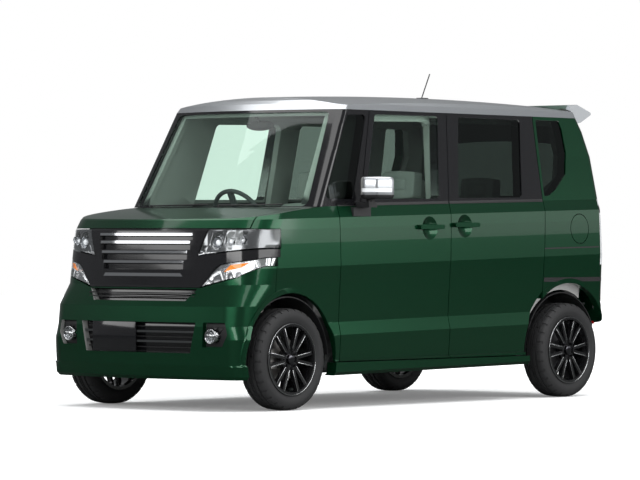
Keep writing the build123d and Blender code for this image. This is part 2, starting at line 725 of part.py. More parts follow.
# Body frame: the pressed inner sides, pillars, sills, headers and bulkheads
frame_hole_front = side_block(
    [(-770.0, 345.0), (-770.0, 1100.0), (-565.0, 1130.0), (-425.0, 1610.0), (150.0, 1620.0),
     (110.0, 1150.0), (100.0, 345.0)], 400.0, 900.0, radius=40.0)
frame_hole_rear = side_block(
    [(250.0, 345.0), (270.0, 1150.0), (320.0, 1620.0), (990.0, 1620.0), (1000.0, 1150.0),
     (980.0, 790.0), (880.0, 345.0)], 400.0, 900.0, radius=40.0)
frame_hole_quarter = side_block(
    [(1120.0, 1190.0), (1120.0, 1620.0), (1330.0, 1620.0), (1370.0, 1450.0), (1330.0, 1300.0)],
    400.0, 900.0, radius=20.0)
frame_top_z = rail_z - seat_gap
frame_rear_y = 1500.0
with BuildPart() as side_frame:
    add(body_form(inner_rows, wall_seat + seat_gap, 60, wall_seat + seat_gap))
    add(body_form(upper_rows, wall_seat + seat_gap, 32, wall_seat + seat_gap))
    add(lower_room, mode=Mode.SUBTRACT)
    add(upper_room, mode=Mode.SUBTRACT)
    add(slab(-900, 900, -985, frame_rear_y, 216, frame_top_z), mode=Mode.INTERSECT)
    add(slab(-900, 900, 905, 1800, 200, 440), mode=Mode.SUBTRACT)
    add(both_sides(frame_hole_front), mode=Mode.SUBTRACT)
    add(both_sides(frame_hole_rear), mode=Mode.SUBTRACT)
    add(both_sides(frame_hole_quarter), mode=Mode.SUBTRACT)
    add(both_sides(arch(rear_axle_y, rear_arch_radius - 40)), mode=Mode.SUBTRACT)
firewall_y = -985.0
tower_z = 845.0
kingpin_foot_x = 596.0
kingpin_foot_z = 178.0
kingpin_tilt = 12.0
strut_top_z = 862.0
lean = tan(radians(kingpin_tilt))


def kingpin_x(z):
    """Where the steering axis is at height z."""
    return kingpin_foot_x - (z - kingpin_foot_z) * lean


wheel_house = both_sides(arch(front_axle_y, front_arch_radius - 18, 405.0, 900.0))
with BuildPart() as strut_hole_form:
    with BuildSketch(Plane.XY.offset(tower_z - 5)):
        with Locations((kingpin_x(tower_z + 9), front_axle_y)):
            Circle(34)
    extrude(amount=40)
strut_hole = strut_hole_form.part
with BuildPart() as body_frame:
    add(side_frame.part)
    add(slab(-640, 640, firewall_y, firewall_y + 30, 300, 1062 - seat_gap))
    add(slab(-560, 560, -640, -590, 1640, 1664))
    add(slab(-560, 560, 1380, 1420, 1640, 1664))
    for x in (-1, 1):
        add(slab(x * 365 - 32, x * 365 + 32, -1530, firewall_y, 385, 470))
        add(slab(x * 495 - 120, x * 495 + 120, -1300, firewall_y, tower_z, tower_z + 18))
        add(slab(x * 378 - 5, x * 378 + 5, -1300, firewall_y, 460, tower_z + 18))
    add(slab(-620, 620, -1545, -1520, 385, 470))
    add(wheel_house, mode=Mode.SUBTRACT)
    add(slab(-900, 900, -1000, -905, 1062 - seat_gap, 1135), mode=Mode.SUBTRACT)
    add(both_sides(strut_hole), mode=Mode.SUBTRACT)
keep("body_frame", body_frame.part)

# Floor with its tunnel, heel board and wheel houses
floor_z = 300.0
floor_thickness = 12.0
load_floor_z = 560.0
floor_half = 628.0
wheel_house_half = 440.0
heel_y = 860.0
liner_radius = 340.0
liner_thickness = 6.0
with BuildPart() as floor_pan:
    with BuildSketch(Plane.YZ.offset(-floor_half)):
        with BuildLine():
            Polyline(
                (firewall_y + 31, floor_z), (firewall_y + 31, floor_z + floor_thickness),
                (heel_y, floor_z + floor_thickness), (heel_y + 100, load_floor_z),
                (1600.0, load_floor_z), (1600.0, load_floor_z - floor_thickness),
                (heel_y + 110, load_floor_z - floor_thickness), (heel_y + 10, floor_z), close=True,
            )
        make_face()
    extrude(amount=2 * floor_half)
    for x in (-1, 1):
        add(slab(x * 560 - 30, x * 560 + 30, firewall_y + 31, heel_y + 30, 218, floor_z + 60))
    add(both_sides(arch(rear_axle_y, liner_radius + liner_thickness + seat_gap, wheel_house_half)),
        mode=Mode.SUBTRACT)
    add(wheel_house, mode=Mode.SUBTRACT)
    add(body_frame.part, mode=Mode.SUBTRACT)
keep("floor_pan", floor_pan.part)

# Wheel liners: front ones part of the front body, rear ones the wheel houses


def liner(axle_y, x_from, x_to, low_z):
    """An arched shell over a wheel, closed towards the car's middle."""
    with BuildPart() as shell:
        with BuildSketch(Plane.YZ.offset(x_from)):
            with Locations((axle_y, axle_z)):
                Circle(liner_radius + liner_thickness)
        extrude(amount=x_to - x_from)
        with BuildSketch(Plane.YZ.offset(x_from + liner_thickness)):
            with Locations((axle_y, axle_z)):
                Circle(liner_radius)
        extrude(amount=x_to - x_from, mode=Mode.SUBTRACT)
        add(slab(0, 900, axle_y - 500, axle_y + 500, -100, low_z), mode=Mode.SUBTRACT)
    return shell.part


rear_liner = liner(rear_axle_y, wheel_house_half + 1, 665.0, 420.0)
front_liner_raw = liner(front_axle_y, 441.0, 690.0, 300.0)
with BuildPart() as front_liner:
    add(front_liner_raw)
    add(slab(430, 450, -1600, -800, 0, 900), mode=Mode.SUBTRACT)
    add(slab(430, 575, front_axle_y - 90, front_axle_y + 90, 500, 900), mode=Mode.SUBTRACT)
    add(body_frame.part, mode=Mode.SUBTRACT)
with BuildPart() as liner_left:
    add(rear_liner)
    add(front_liner.part)
keep("wheel_liners", both_sides(liner_left.part))

# Wheels
bead_radius = 190.0
rim_half = 76.0
face_step = 75.0
hub_radius = 52.0
bore_radius = 28.0
hub_clearance = 0.3
spoke_pairs = 6
with BuildPart() as tyre_form:
    with BuildSketch(Plane.XZ):
        with BuildLine():
            half = tyre_width / 2
            Line((-66.0, bead_radius), (66.0, bead_radius))
            Line((66.0, bead_radius), (72.0, rim_radius + 3))
            ThreePointArc((72.0, rim_radius + 3), (half, 238.0), (72.0, 268.0))
            ThreePointArc((72.0, 268.0), (66.0, 275.5), (58.0, 278.5))
            ThreePointArc((58.0, 278.5), (0.0, tyre_radius), (-58.0, 278.5))
            ThreePointArc((-58.0, 278.5), (-66.0, 275.5), (-72.0, 268.0))
            ThreePointArc((-72.0, 268.0), (-half, 238.0), (-72.0, rim_radius + 3))
            Line((-72.0, rim_radius + 3), (-66.0, bead_radius))
        make_face()
    revolve(axis=Axis.X)
spoke_reach = 183.0
with BuildPart() as rim_form:
    with BuildSketch(Plane.XZ):
        with BuildLine():
            Polyline(
                (-rim_half, bead_radius - 8), (-rim_half, rim_radius), (-71.6, rim_radius),
                (-66.7, bead_radius - 0.3), (66.7, bead_radius - 0.3), (71.6, rim_radius),
                (rim_half, rim_radius), (rim_half, bead_radius - 8), (50.0, bead_radius - 8),
                (40.0, bead_radius - 12), (-50.0, bead_radius - 12), close=True,
            )
        make_face()
    revolve(axis=Axis.X)
    with BuildSketch(Plane.YZ.offset(28.0)):
        Circle(hub_radius + 14)
    extrude(amount=30.0)
    with BuildSketch(Plane.YZ.offset(38.0)):
        with PolarLocations(0, spoke_pairs):
            for turn in (-1, 1):
                with Locations(Rotation(0, 0, 10.0 * turn)):
                    with Locations(((hub_radius + spoke_reach) / 2, 0)):
                        Rectangle(spoke_reach - hub_radius + 12, 17.0)
    extrude(amount=30.0)
    with BuildSketch(Plane.YZ.offset(28.0)):
        Circle(bore_radius)
    extrude(amount=20.0, mode=Mode.SUBTRACT)

wheel_places = {
    "front_left": (1, front_axle_y),
    "front_right": (-1, front_axle_y),
    "rear_left": (1, rear_axle_y),
    "rear_right": (-1, rear_axle_y),
}


def placed(form, side, y):
    """A left wheel piece on the origin's X axis, moved to its axle."""
    turned = form if side > 0 else form.mirror(Plane.YZ)
    return turned.moved(Location((side * wheel_x, y, axle_z)))


for corner, (side, y) in wheel_places.items():
    keep(f"tyre_{corner}", placed(tyre_form.part, side, y))
    keep(f"rim_{corner}", placed(rim_form.part, side, y))

# Front knuckles with hub, brake disc, caliper, strut and spring, on an inclined steering axis


def along_x(y, z, x_from, x_to, radius):
    """A round bar along X."""
    with BuildPart() as bar:
        with BuildSketch(Plane.YZ.offset(x_from)):
            with Locations((y, z)):
                Circle(radius)
        extrude(amount=x_to - x_from)
    return bar.part


def bar_between(start, end, radius):
    """A round bar from one point to another."""
    way = Vector(*end) - Vector(*start)
    with BuildPart() as bar:
        with BuildSketch(Plane(origin=start, z_dir=way)):
            Circle(radius)
        extrude(amount=way.length)
    return bar.part


hub_face_x = wheel_x + 28.0 - hub_clearance
pin_radius = 9.0
arm_z = kingpin_foot_z
strut_foot = (kingpin_x(400.0) - 42, front_axle_y, 372.0)
strut_head = (kingpin_x(strut_top_z), front_axle_y, strut_top_z)
steer_arm_y = front_axle_y + 118.0
steer_arm_z = 303.0
steer_arm_depth = 22.0
knuckle_foot_z = 196.0
with BuildPart() as knuckle:
    add(along_x(front_axle_y, axle_z, kingpin_x(axle_z) - 30, wheel_x - 20, 42))
    add(along_x(front_axle_y, axle_z, wheel_x - 20, hub_face_x, 62))
    add(along_x(front_axle_y, axle_z, hub_face_x, hub_face_x + 18, bore_radius - hub_clearance))
    add(along_x(front_axle_y, axle_z, wheel_x - 18, wheel_x + 2, 122))
    foot_x = kingpin_x(230)
    add(slab(foot_x - 34, foot_x + 22, front_axle_y - 26, front_axle_y + 26, knuckle_foot_z, 300))
    add(slab(kingpin_x(400) - 74, kingpin_x(400) - 4, front_axle_y - 22, front_axle_y + 22, 262, 400))
    add(slab(wheel_x - 44, wheel_x + 22, front_axle_y - 148, front_axle_y - 66, 230, 340))
    arm_x = kingpin_x(300)
    arm_top_z = steer_arm_z + steer_arm_depth
    add(slab(arm_x - 30, arm_x + 6, front_axle_y, steer_arm_y + 16, steer_arm_z, arm_top_z))
    add(bar_between(strut_foot, strut_head, 23))
    strut_way = (Vector(*strut_head) - Vector(*strut_foot)).normalized()
    add(bar_between(Vector(*strut_foot) + strut_way * 200, Vector(*strut_foot) + strut_way * 206, 66))
    add(bar_between(
        Vector(*strut_foot) + strut_way * 206, Vector(*strut_foot) + strut_way * 452, 52))
    pin_start = (kingpin_x(186), front_axle_y, 186)
    pin_end = (kingpin_x(225), front_axle_y, 225)
    add(bar_between(pin_start, pin_end, pin_radius + 0.3), mode=Mode.SUBTRACT)
keep("front_knuckle_left", knuckle.part)
keep("front_knuckle_right", right_of(knuckle.part))

# Front subframe with the lower arms and their ball pins
with BuildPart() as front_subframe:
    add(slab(-400, 400, front_axle_y + 20, front_axle_y + 160, 180, 235))
    add(slab(-390, -330, front_axle_y - 240, -1000, 190, 235))
    add(slab(330, 390, front_axle_y - 240, -1000, 190, 235))
    add(slab(-390, 390, front_axle_y - 250, front_axle_y - 200, 190, 235))
    for x in (-1, 1):
        add(slab(x * 365 - 20, x * 365 + 20, -1440, -1400, 235, 384.6))
        add(slab(x * 365 - 20, x * 365 + 20, -1040, -1000, 235, 384.6))
    for x in (-1, 1):
        with BuildSketch(Plane.XY.offset(arm_z - 14)):
            with BuildLine():
                Polyline(
                    (x * 360, front_axle_y + 120), (x * (kingpin_foot_x + 14), front_axle_y + 22),
                    (x * (kingpin_foot_x + 14), front_axle_y - 22), (x * 360, front_axle_y - 26),
                    close=True,
                )
            make_face()
        extrude(amount=24)
        start = (x * kingpin_x(180), front_axle_y, 180)
        end = (x * kingpin_x(222), front_axle_y, 222)
        add(bar_between(start, end, pin_radius))
keep("front_subframe", front_subframe.part)

# Steering rack with its track rods, column and wheel
rack_y = steer_arm_y
rack_z = 268.0
with BuildPart() as steering_rack:
    add(bar_between((-500, rack_y, rack_z), (500, rack_y, rack_z), 11))
    for x in (-1, 1):
        reach = kingpin_x(296) - 12
        add(bar_between((x * 480, rack_y, rack_z), (x * reach, rack_y, rack_z), 9))
        add(bar_between((x * reach, rack_y, rack_z - 12), (x * reach, rack_y, rack_z + 14), 13))
keep("steering_rack", steering_rack.part)
with BuildPart() as rack_housing:
    add(bar_between((-300, rack_y, rack_z), (300, rack_y, rack_z), 22))
    add(bar_between((-310, rack_y, rack_z), (310, rack_y, rack_z), 11.3), mode=Mode.SUBTRACT)
    add(slab(-260, -220, rack_y - 15, rack_y + 15, 235, rack_z - 20))
    add(slab(220, 260, rack_y - 15, rack_y + 15, 235, rack_z - 20))

driver_x = -350.0
wheel_centre = (driver_x, -440.0, 1064.0)
column_tilt = 28.0
column_way = Vector(0, cos(radians(column_tilt)), sin(radians(column_tilt)))
with BuildPart() as steering_wheel:
    wheel_plane = Plane(origin=wheel_centre, x_dir=(1, 0, 0), z_dir=column_way)
    with BuildSketch(Plane(origin=wheel_centre, x_dir=(1, 0, 0), z_dir=wheel_plane.y_dir)):
        with Locations((176, 0)):
            Circle(13)
    revolve(axis=Axis(wheel_centre, column_way))
    with BuildSketch(wheel_plane.offset(-14)):
        Circle(58)
        Rectangle(346, 34)
        with Locations((0, -85)):
            Rectangle(34, 172)
    extrude(amount=20)
    with BuildSketch(wheel_plane.offset(-90)):
        Circle(16)
    extrude(amount=80)
keep("steering_wheel", steering_wheel.part)
column_end = Vector(*wheel_centre) - column_way * 90.4
column_foot = Vector(*wheel_centre) - column_way * 420
with BuildPart() as steering_column:
    add(bar_between(column_foot, column_end, 38))
    add(rack_housing.part)
keep("steering_column", steering_column.part)

# Dashboard with the instrument hood
dash_outline = [
    (-940.0, 1060.0), (-880.0, 1062.0 - seat_gap), (-700.0, 1062.0 - seat_gap), (-600.0, 1030.0),
    (-590.0, 900.0), (-650.0, 700.0),
    (-780.0, 560.0), (-820.0, 560.0), (-800.0, 800.0), (-940.0, 960.0),
]
with BuildPart() as dashboard:
    add(side_block(dash_outline, -650, 650, radius=12))
    add(body_frame.part, mode=Mode.SUBTRACT)
    add(windscreen_frame.part, mode=Mode.SUBTRACT)
    add(bar_between(Vector(*wheel_centre) - column_way * 430, column_end, 38.3), mode=Mode.SUBTRACT)
    add(slab(-930 + 400, -200, -700, -620, 1040, 1115))
keep("dashboard", dashboard.part)


def seat(x, front_y, hip_z, width, back_height):
    """A plain seat: cushion, leaning back rest and head rest."""
    half = width / 2
    cushion = [(0.0, -40.0), (0.0, 50.0), (40.0, 80.0), (480.0, 55.0), (500.0, -40.0)]
    back = [(430.0, 62.0), (560.0, back_height), (660.0, back_height), (560.0, -30.0), (502.0, -30.0)]
    rest = [(578.0, back_height + 30), (590.0, back_height + 190), (670.0, back_height + 190),
            (668.0, back_height + 30)]
    with BuildPart() as form:
        for outline, narrow in ((cushion, 0.0), (back, 6.0), (rest, half - 130)):
            points = [(front_y + y, hip_z + z) for y, z in outline]
            add(side_block(points, x - half + narrow, x + half - narrow, radius=14))
        for step in (-40, 40):
            post_y = front_y + 622
            add(slab(x + step - 6, x + step + 6, post_y - 6, post_y + 6,
                     hip_z + back_height - 30, hip_z + back_height + 60))
        add(slab(x - half + 60, x + half - 60, front_y + 60, front_y + 440,
                 floor_z + floor_thickness + 0.3, hip_z - 30))
    return form.part


with BuildPart() as front_seats:
    add(seat(-325.0, -400.0, 580.0, 500.0, 560.0))
    add(seat(325.0, -400.0, 580.0, 500.0, 560.0))
keep("front_seats", front_seats.part)
with BuildPart() as rear_seats:
    add(seat(-290.0, 385.0, 590.0, 480.0, 520.0))
    add(seat(290.0, 385.0, 590.0, 480.0, 520.0))
keep("rear_seats", rear_seats.part)

# Engine, exhaust, fuel tank and rear axle
with BuildPart() as engine_block:
    with Locations((20.0, -1265.0, 620.0)):
        Box(560, 330, 560)
    add(slab(-333 + seat_gap, -250, -1330, -1200, 400, 460))
    add(slab(290, 333 - seat_gap, -1330, -1200, 400, 460))
keep("engine_block", engine_block.part)

with BuildPart() as exhaust:
    add(bar_between((60, -1000, 190), (60, 900, 190), 24))
    add(bar_between((60, 900, 190), (300, 1390, 222), 24))
    add(slab(150, 520, 1440, 1580, 230, 350))
    add(bar_between((300, 1390, 222), (300, 1450, 270), 24))
    add(bar_between((440, 1570, 260), (440, 1640, 240), 20))
    add(slab(-10, 130, 100, 500, 160, 218))
    add(slab(50, 70, 300, 316, 214, floor_z - seat_gap))
    add(slab(300, 320, 1500, 1516, 345, load_floor_z - floor_thickness - seat_gap))
keep("exhaust", exhaust.part)

with BuildPart() as fuel_tank:
    with Locations((-270.0, 250.0, 250.4)):
        Box(260, 560, 98.4)
    fillet(fuel_tank.edges().filter_by(Axis.Z), 40)
keep("fuel_tank", fuel_tank.part)

rear_hub_face = wheel_x + 28.0 - hub_clearance
with BuildPart() as rear_axle:
    add(bar_between((-540, rear_axle_y - 20, 300), (540, rear_axle_y - 20, 300), 34))
    for x in (-1, 1):
        add(slab(x * 509 - 20.7, x * 509 + 20.7, heel_y - 60, rear_axle_y + 40, 235, 295))
        add(bar_between((x * 520, rear_axle_y, axle_z), (x * (wheel_x - 45), rear_axle_y, axle_z), 44))
        stub_end = (x * (wheel_x - 45), rear_axle_y, axle_z)
        add(bar_between(stub_end, (x * rear_hub_face, rear_axle_y, axle_z), 62))
        drum_back = (x * (wheel_x - 50), rear_axle_y, axle_z)
        add(bar_between(drum_back, (x * (wheel_x + 2), rear_axle_y, axle_z), 115))
        add(bar_between(
            (x * rear_hub_face, rear_axle_y, axle_z), (x * (rear_hub_face + 18), rear_axle_y, axle_z),
            bore_radius - hub_clearance))
        spring_top = (x * 380, rear_axle_y - 90, load_floor_z - 12.4)
        add(bar_between((x * 380, rear_axle_y - 90, 320), spring_top, 46))
        add(slab(x * 380 - 48, x * 380 + 48, rear_axle_y - 136, rear_axle_y - 20, 300, 322))
        damper_top = (x * 400, rear_axle_y + 90, load_floor_z - 12.4)
        add(bar_between((x * 400, rear_axle_y + 90, 300), damper_top, 21))
        add(slab(x * 400 - 24, x * 400 + 24, rear_axle_y - 20, rear_axle_y + 112, 285, 312))
keep("rear_axle", rear_axle.part)

# Mirrors: a stalk fixed to each front door and a housing that folds about it
mirror_pivot = (778.0, -600.0)
with BuildPart() as mirror_form:
    with BuildSketch(Plane.XY.offset(1168)) as shape:
        with BuildLine():
            Polyline(
                (748, -655), (742, -575), (890, -520), (898, -560), (866, -650), (790, -684), close=True,
            )
        make_face()
        fillet(shape.vertices(), 9)
    extrude(amount=123)
keep("mirror_left", mirror_form.part)
keep("mirror_right", right_of(mirror_form.part))
with BuildPart() as stalk:
    add(slab(690, 730, -690, -540, 1070, 1122))
    add(slab(700, 800, -640, -570, 1120, 1150))
    with BuildSketch(Plane.XY.offset(1140)):
        with Locations(mirror_pivot):
            Circle(24)
    extrude(amount=27.7)
    add(front_door_left.part, mode=Mode.SUBTRACT)
    add(upper_skin, mode=Mode.SUBTRACT)
    add(lower_skin, mode=Mode.SUBTRACT)
keep("mirror_base_left", stalk.part)
keep("mirror_base_right", right_of(stalk.part))

# Wipers and aerial
pivot_foot_z = 1085.0
with BuildPart() as wipers:
    add(bar_between((-470, -1062, pivot_foot_z), (-470, -1062, 1134), 8))
    add(bar_between((-470, -1062, 1130), (20, -1116, 1134), 4))
    add(bar_between((90, -1108, pivot_foot_z), (90, -1108, 1134), 8))
    add(bar_between((90, -1108, 1130), (520, -1052, 1134), 4))
    add(cowl.part, mode=Mode.SUBTRACT)
    add(windscreen_frame.part, mode=Mode.SUBTRACT)
keep("wipers", wipers.part)
antenna_foot = (0.0, 800.0, 1781.0)
antenna_tip = (0.0, 880.0, 1935.0)
antenna_radius = 3.5
with BuildPart() as antenna:
    add(bar_between(antenna_foot, antenna_tip, antenna_radius))
    add(slab(-22, 22, 780, 840, 1779, 1790))
    add(roof.part, mode=Mode.SUBTRACT)
keep("antenna", antenna.part)

os.makedirs("parts", exist_ok=True)
for name, piece in pieces.items():
    export_step(piece, f"parts/{name}.step")
print(len(pieces), "pieces written")
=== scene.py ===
"""The looks of a tall kei car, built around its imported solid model."""

import math

import bpy
from mathutils import Matrix, Vector


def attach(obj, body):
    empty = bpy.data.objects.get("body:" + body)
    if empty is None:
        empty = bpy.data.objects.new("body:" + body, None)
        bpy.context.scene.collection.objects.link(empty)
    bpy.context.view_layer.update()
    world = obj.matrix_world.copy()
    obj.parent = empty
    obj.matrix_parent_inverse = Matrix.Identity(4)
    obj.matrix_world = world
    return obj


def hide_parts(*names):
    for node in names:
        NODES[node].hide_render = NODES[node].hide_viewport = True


bl_info = {
    "name": "Kei Car Looks",
    "version": (1, 0, 0),
    "blender": (4, 5, 0),
    "location": "View3D > Sidebar > Kei Car",
    "description": "Paint, glass, lamps, wheels and trim of a tall kei car",
    "category": "Object",
}

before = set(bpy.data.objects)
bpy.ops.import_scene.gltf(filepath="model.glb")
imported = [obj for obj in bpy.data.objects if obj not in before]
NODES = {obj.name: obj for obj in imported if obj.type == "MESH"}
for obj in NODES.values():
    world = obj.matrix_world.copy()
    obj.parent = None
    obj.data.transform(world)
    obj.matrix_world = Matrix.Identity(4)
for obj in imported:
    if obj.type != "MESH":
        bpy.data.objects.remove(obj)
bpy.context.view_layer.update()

# Places on the solid model, in metres. The nose points towards -Y and the car's left is +X.

WHEELBASE = 2.520
FRONT_AXLE_Y = -1.2075
REAR_AXLE_Y = FRONT_AXLE_Y + WHEELBASE
WHEEL_X = 0.6525
AXLE_Z = 0.281
CORNERS = ("front_left", "front_right", "rear_left", "rear_right")
SIDES = (-1, 1)

# Side cutters reach from inside the skin to just outside the car
SIDE_OUT = 0.90
ARCH_IN = 0.66
DOOR_IN = 0.60

# Front cutters reach from ahead of the nose back to behind each piece
NOSE_FRONT = -1.80
GRILLE_BACK = -1.45
BUMPER_BACK = -1.35
LAMP_BACK = -1.30

# The belt runs straight from its front end to its rear end, each as its y and z
BELT_FRONT = (-0.807, 1.1315)
BELT_REAR = (1.058, 1.171)
BELT_SLOPE = (BELT_REAR[1] - BELT_FRONT[1]) / (BELT_REAR[0] - BELT_FRONT[0])


def belt_z(y):
    """Height of the line where paint meets the black window band."""
    return BELT_FRONT[1] + (y - BELT_FRONT[0]) * BELT_SLOPE


# Meshes

MERGE_REACH = 0.00002
SPIN_MERGE_REACH = 0.00005
BALL_SIDES = 32

# Faces that meet at more than this many degrees keep a crisp edge, on hard pieces and on cloth
HARD_EDGE = 35
CLOTH_EDGE = 60


def start():
    """Nothing is selected and no mesh is being edited."""
    if bpy.context.object and bpy.context.object.mode != "OBJECT":
        bpy.ops.object.mode_set(mode="OBJECT")
    bpy.ops.object.select_all(action="DESELECT")


def pick(piece):
    """Only this piece is selected, and it is the active one."""
    start()
    piece.select_set(True)
    bpy.context.view_layer.objects.active = piece


def edit_all():
    """The active mesh is being edited, with all of it selected."""
    bpy.ops.object.mode_set(mode="EDIT")
    bpy.ops.mesh.select_all(action="SELECT")


def edit_faces():
    """The active mesh is being edited, with the faces selected that were marked."""
    bpy.ops.object.mode_set(mode="EDIT")
    bpy.ops.mesh.select_mode(type="FACE")


def edit_done():
    """The active mesh is no longer being edited."""
    bpy.ops.object.mode_set(mode="OBJECT")


def settle(piece, name, finish, body, smooth=HARD_EDGE):
    """Names a piece, gives it a finish and smooth faces, and lets it ride on a body."""
    if not piece.data.polygons:
        raise RuntimeError(f"{name} has no faces")
    pick(piece)
    bpy.ops.object.transform_apply(location=True, rotation=True, scale=True)
    bpy.ops.object.shade_smooth_by_angle(angle=math.radians(smooth))
    piece.name = name
    piece.data.name = name
    piece.data.materials.clear()
    piece.data.materials.append(FINISHES[finish])
    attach(piece, body)
    return piece


def modify(piece, kind, **settings):
    """Adds a modifier with these settings and applies it."""
    pick(piece)
    modifier = piece.modifiers.new(kind, kind)
    for key, value in settings.items():
        setattr(modifier, key, value)
    bpy.ops.object.modifier_apply(modifier=modifier.name)


def box(low, high, bevel=0.0, segments=2):
    """A block between two corners, its edges rounded by the bevel or left sharp without one."""
    start()
    middle = [(a + b) / 2 for a, b in zip(low, high)]
    bpy.ops.mesh.primitive_cube_add(size=1, location=middle)
    piece = bpy.context.object
    piece.scale = [b - a for a, b in zip(low, high)]
    bpy.ops.object.transform_apply(location=True, rotation=True, scale=True)
    if bevel:
        modify(piece, "BEVEL", width=bevel, segments=segments, limit_method="ANGLE")
    return piece


def rod(start_at, end_at, radius, sides=24, end_radius=None):
    """A round bar or cone from one point to another."""
    start()
    a, b = Vector(start_at), Vector(end_at)
    way = b - a
    turn = way.to_track_quat("Z", "Y").to_euler()
    bpy.ops.mesh.primitive_cone_add(
        vertices=sides, radius1=radius, radius2=radius if end_radius is None else end_radius,
        depth=way.length, location=(a + b) / 2, rotation=turn,
    )
    piece = bpy.context.object
    bpy.ops.object.transform_apply(location=True, rotation=True, scale=True)
    return piece


def ring(centre, axis, radius, thickness, sides=64, around=12):
    """A torus about an axis."""
    start()
    turn = Vector(axis).to_track_quat("Z", "Y").to_euler()
    bpy.ops.mesh.primitive_torus_add(
        location=centre, rotation=turn, major_radius=radius, minor_radius=thickness,
        major_segments=sides, minor_segments=around,
    )
    piece = bpy.context.object
    bpy.ops.object.transform_apply(location=True, rotation=True, scale=True)
    return piece


def ball(centre, size):
    """An ellipsoid with these three radii."""
    start()
    bpy.ops.mesh.primitive_uv_sphere_add(
        segments=BALL_SIDES, ring_count=BALL_SIDES // 2, radius=1, location=centre
    )
    piece = bpy.context.object
    piece.scale = size
    bpy.ops.object.transform_apply(location=True, rotation=True, scale=True)
    return piece


def prism(outline, axis, low, high):
    """An outline seen along one axis, drawn out along that axis from low to high."""
    start()
    bpy.ops.mesh.primitive_circle_add(vertices=len(outline), radius=1, fill_type="NGON")
    piece = bpy.context.object
    for vertex, (across, up) in zip(piece.data.vertices, outline):
        vertex.co = {"X": (low, across, up), "Y": (across, low, up), "Z": (across, up, low)}[axis]
    edit_all()
    step = [(high - low) * (name == axis) for name in "XYZ"]
    bpy.ops.mesh.extrude_region_move(TRANSFORM_OT_translate={"value": step})
    bpy.ops.mesh.select_all(action="SELECT")
    bpy.ops.mesh.normals_make_consistent(inside=False)
    edit_done()
    return piece


def copied(node):
    """A merged copy of a solid's mesh."""
    piece = bpy.data.objects.new(node + "_copy", NODES[node].data.copy())
    bpy.context.collection.objects.link(piece)
    pick(piece)
    edit_all()
    bpy.ops.mesh.remove_doubles(threshold=MERGE_REACH)
    edit_done()
    return piece


def joined(pieces):
    """Several meshes as one."""
    start()
    for piece in pieces:
        piece.select_set(True)
    bpy.context.view_layer.objects.active = pieces[0]
    bpy.ops.object.join()
    return bpy.context.object


def mirrored(piece):
    """The piece with its mirror image on the car's other side."""
    modify(piece, "MIRROR", use_axis=(True, False, False), use_mirror_merge=False)
    return piece


def swollen(piece, by):
    """Moves a mesh's surface out by this much, or in where it is negative."""
    modify(piece, "DISPLACE", strength=by, mid_level=0.0, direction="NORMAL")
    return piece


def trimmed(piece, operation, cutter):
    """Keeps what two meshes share, or cuts the second out of the first, and drops the second."""
    modify(piece, "BOOLEAN", operation=operation, object=cutter, solver="EXACT")
    bpy.data.objects.remove(cutter)
    return piece


def skin(node, axis, outline, low, high, proud):
    """The part of a solid inside an outline, standing proud of its surface by a little."""
    cutter = prism(outline, axis, low, high)
    return trimmed(swollen(copied(node), proud), "INTERSECT", cutter)


def surface_y(node, x, z):
    """Where a line along Y from ahead of the car first meets a solid."""
    hit, place = NODES[node].ray_cast(Vector((x, NOSE_FRONT, z)), Vector((0, 1, 0)))[:2]
    if not hit:
        raise RuntimeError(f"{node} has no surface at {x}, {z}")
    return place.y


def beside(outline, side):
    """An outline of x and z on one side of the car."""
    return [(side * x, z) for x, z in outline]


# Shader maths


class Value:
    """A number socket that takes part in Python expressions."""

    def __init__(self, tree, socket):
        self.tree = tree
        self.socket = socket

    def _math(self, operation, *others):
        node = self.tree.nodes.new("ShaderNodeMath")
        node.operation = operation
        for slot, value in zip(node.inputs, others):
            if isinstance(value, Value):
                self.tree.links.new(value.socket, slot)
            else:
                slot.default_value = value
        return Value(self.tree, node.outputs[0])

    def __add__(self, other):
        return self._math("ADD", self, other)

    __radd__ = __add__

    def __sub__(self, other):
        return self._math("SUBTRACT", self, other)

    def __rsub__(self, other):
        return self._math("SUBTRACT", other, self)

    def __mul__(self, other):
        return self._math("MULTIPLY", self, other)

    __rmul__ = __mul__

    def __abs__(self):
        return self._math("ABSOLUTE", self)

    def larger(self, other):
        """The greater of the two."""
        return self._math("MAXIMUM", self, other)

    def above(self, other):
        """One where this is greater than the other, else nothing."""
        return self._math("GREATER_THAN", self, other)

    def rises(self, low, high):
        """A soft step from nothing at low to one at high."""
        node = self.tree.nodes.new("ShaderNodeMapRange")
        node.interpolation_type = "SMOOTHSTEP"
        self.tree.links.new(self.socket, node.inputs["Value"])
        node.inputs["From Min"].default_value = low
        node.inputs["From Max"].default_value = high
        return Value(self.tree, node.outputs[0])


